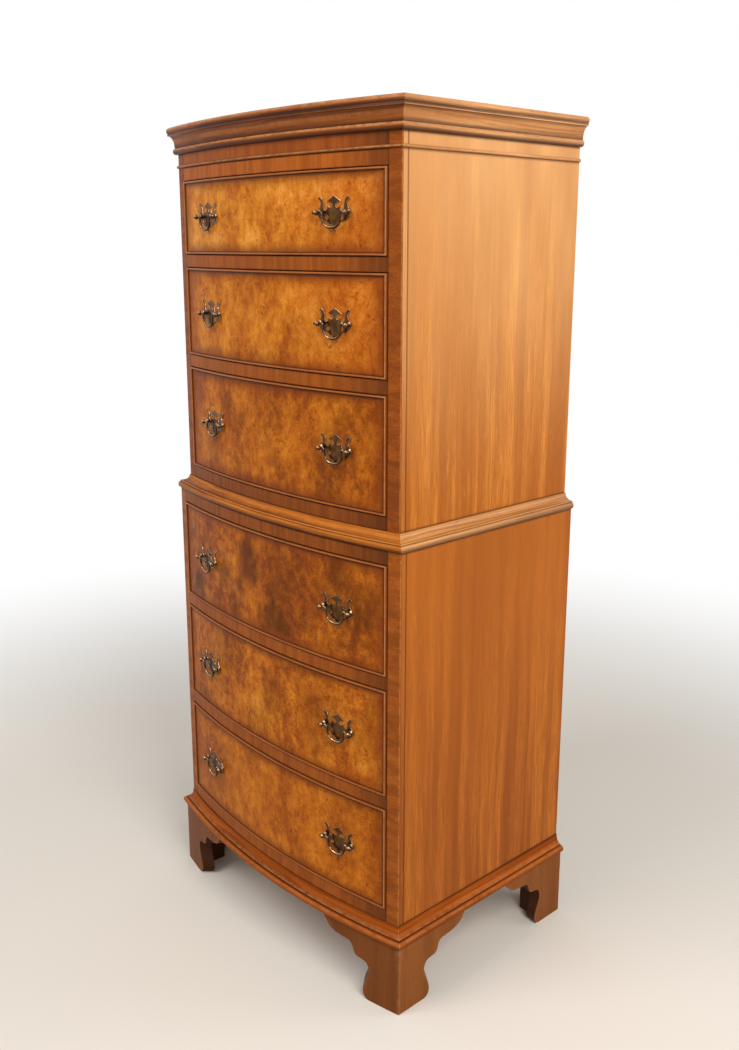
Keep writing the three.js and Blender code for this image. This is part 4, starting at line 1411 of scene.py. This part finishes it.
def cast_brass(name, dark, light, smooth):
    """Cast brass under a dark bronze patina, with bare metal at rubbed edges and painted highlights on faces
    turned up, after its edge marks.
    """
    material, tree = new_material(name)
    place = own_place(tree)
    cloud = spread(tree, noise(tree, place, 110, 3.0, 0.5), 0.30, 0.70)
    patches = spread(tree, noise(tree, place, 420, 3.0), 0.30, 0.6, 0.4, 1.0)
    bare_and_lit = times(tree, marked(tree, "edge"), patches, True)
    colour = blended(tree, bare_and_lit, blended(tree, cloud, dark, light), bare_brass_and_highlight)
    inputs = {"Height": cloud, "Strength": 0.2, "Distance": brass_relief_depth}
    relief = add_node(tree, "ShaderNodeBump", inputs).outputs[0]
    surfaced(tree, {"Base Color": colour, "Metallic": 0.95, "Normal": relief,
                    "Roughness": spread(tree, cloud, 0, 1, smooth, 0.22)})
    return material


plate_brass = cast_brass("plate brass", (0.070, 0.028, 0.0088, 1), (0.14, 0.061, 0.0185, 1), 0.32)
bail_brass = cast_brass("bail brass", (0.037, 0.017, 0.007, 1), (0.090, 0.043, 0.017, 1), 0.22)


def joined(name, meshes):
    """Several meshes as one."""
    form = bmesh.new()
    for mesh in meshes:
        form.from_mesh(mesh)
    mesh = bpy.data.meshes.new(name)
    form.to_mesh(mesh)
    form.free()
    return mesh


def paint_top_highlights(mesh):
    """Marks the sides of the brass that face up and out with a painted highlight."""
    bare_and_lit = mesh.attributes.get("edge") or mesh.attributes.new("edge", "FLOAT", "POINT")
    for corner, value in zip(mesh.vertices, bare_and_lit.data):
        value.value = max(0.0, 0.8 * corner.normal.z - 0.5 * corner.normal.y) ** 4


# The plate's bevelled edge is marked for bare metal: partly rubbed, partly a painted highlight.
bare_and_lit = batwing.attributes.new("edge", "FLOAT", "POINT")
for corner, value in zip(batwing.vertices, bare_and_lit.data):
    value.value = 0.0 if corner.co.z > plate_thickness / 2 - plate_edge / 4 else 0.8
batwing.transform(Matrix.Rotation(math.pi / 2, 4, "X"))
batwing.transform(Matrix.Translation((0, -plate_thickness / 2 - plate_gap, 0)))
posts = [lathed("post", post_profile, side * post_reach) for side in (-1, 1)]
for post in posts:
    paint_top_highlights(post)
plate_form = joined("back_plate", [batwing] + posts)


def handle_frames():
    """Every handle: its drawer, its hand, and the turn and place that set it on the bow."""
    for number, case in drawer_cases.items():
        low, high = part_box(f"drawer_{number}_front")
        face = case_faces[case]
        for side, hand in hands:
            x = side * handle_reach[case]
            turn = math.asin(x / (bow_radius + face))
            place = Matrix.Translation((x, bow_y(x, face), (low.z + high.z) / 2))
            yield number, hand, place @ Matrix.Rotation(turn, 4, "Z")


for number, hand, frame_matrix in handle_frames():
    plate = plate_form.copy()
    plate.transform(frame_matrix)
    settle(f"drawer_{number}_{hand}_batwing", plate, f"drawer_{number}", f"drawer_{number}_plate_{hand}",
           plate_brass, sharp=38)


# The bails: cast brass swan-neck handles. Their pins turn in the heads of the posts and end in
# small buttons, and the necks rise, curl down into the arms and meet in the grip.
pin_radius = 0.0013
pin_gap = 0.0003
button_radius = 0.0023
button_length = 0.0019
bail_sides = 16
bail_step = 0.0006
button_foot = post_reach + head_radius + pin_gap

# The right half of the bail as rows of reach, set-back, height and radius
bail_half_rows = [
    (button_foot + button_length, 0.0, 0.0, 0.0004),
    (button_foot + button_length * 0.85, 0.0, 0.0, button_radius * 0.75),
    (button_foot + button_length * 0.5, 0.0, 0.0, button_radius),
    (button_foot + button_length * 0.15, 0.0, 0.0, button_radius * 0.75),
    (button_foot, 0.0, 0.0, pin_radius),
    (post_reach - head_radius - pin_gap, 0.0, 0.0, pin_radius),
    (0.0218, 0.0, 0.0020, 0.0015),
    (0.0196, 0.0, 0.0020, 0.0016),
    (0.0173, 0.0003, -0.0008, 0.0016),
    (0.0169, 0.0007, -0.0052, 0.0017),
    (0.0163, 0.0010, -0.0105, 0.0018),
    (0.0139, 0.0013, -0.0156, 0.0019),
    (0.0092, 0.0015, -0.0190, 0.0020),
    (0.0031, 0.0015, -0.0205, 0.0021),
]
bail_rows = bail_half_rows + [(-x, back, z, radius) for x, back, z, radius in reversed(bail_half_rows)]

rod, given, made = new_shaper("rod along a line", [
    ("Sides", "Int", bail_sides),
    ("Step", "Float", bail_step),
])
line = add_node(rod, "GeometryNodeMeshToCurve", {"Mesh": given["Geometry"]}).outputs[0]
line = add_node(rod, "GeometryNodeCurveSplineType", {"Curve": line}, spline_type="CATMULL_ROM").outputs[0]
inputs = {"Curve": line, "Length": given["Step"]}
line = add_node(rod, "GeometryNodeResampleCurve", inputs, mode="LENGTH").outputs[0]
inputs = {"Resolution": given["Sides"], "Radius": 1.0}
circle = add_node(rod, "GeometryNodeCurvePrimitiveCircle", inputs).outputs["Curve"]
thickness = add_node(rod, "GeometryNodeInputNamedAttribute", {"Name": "thickness"}, data_type="FLOAT")
inputs = {"Curve": line, "Profile Curve": circle, "Scale": thickness.outputs["Attribute"],
          "Fill Caps": True}
skin = add_node(rod, "GeometryNodeCurveToMesh", inputs).outputs[0]
finish_shaper(rod, skin, given, made)

bail_line = bpy.data.meshes.new("bail")
bail_line.from_pydata([(x, back - pivot_stand, z) for x, back, z, radius in bail_rows],
                      [(i, i + 1) for i in range(len(bail_rows) - 1)], [])
thick = bail_line.attributes.new("thickness", "FLOAT", "POINT")
for value, row in zip(thick.data, bail_rows):
    value.value = row[-1]
bail_form = shaped("bail", bail_line, rod, bail_brass)
paint_top_highlights(bail_form)
for number, hand, frame_matrix in handle_frames():
    bail = bail_form.copy()
    bail.transform(frame_matrix)
    settle(f"drawer_{number}_{hand}_swan_neck", bail, f"drawer_{number}_bail_{hand}",
           f"drawer_{number}_bail_{hand}", sharp=50)
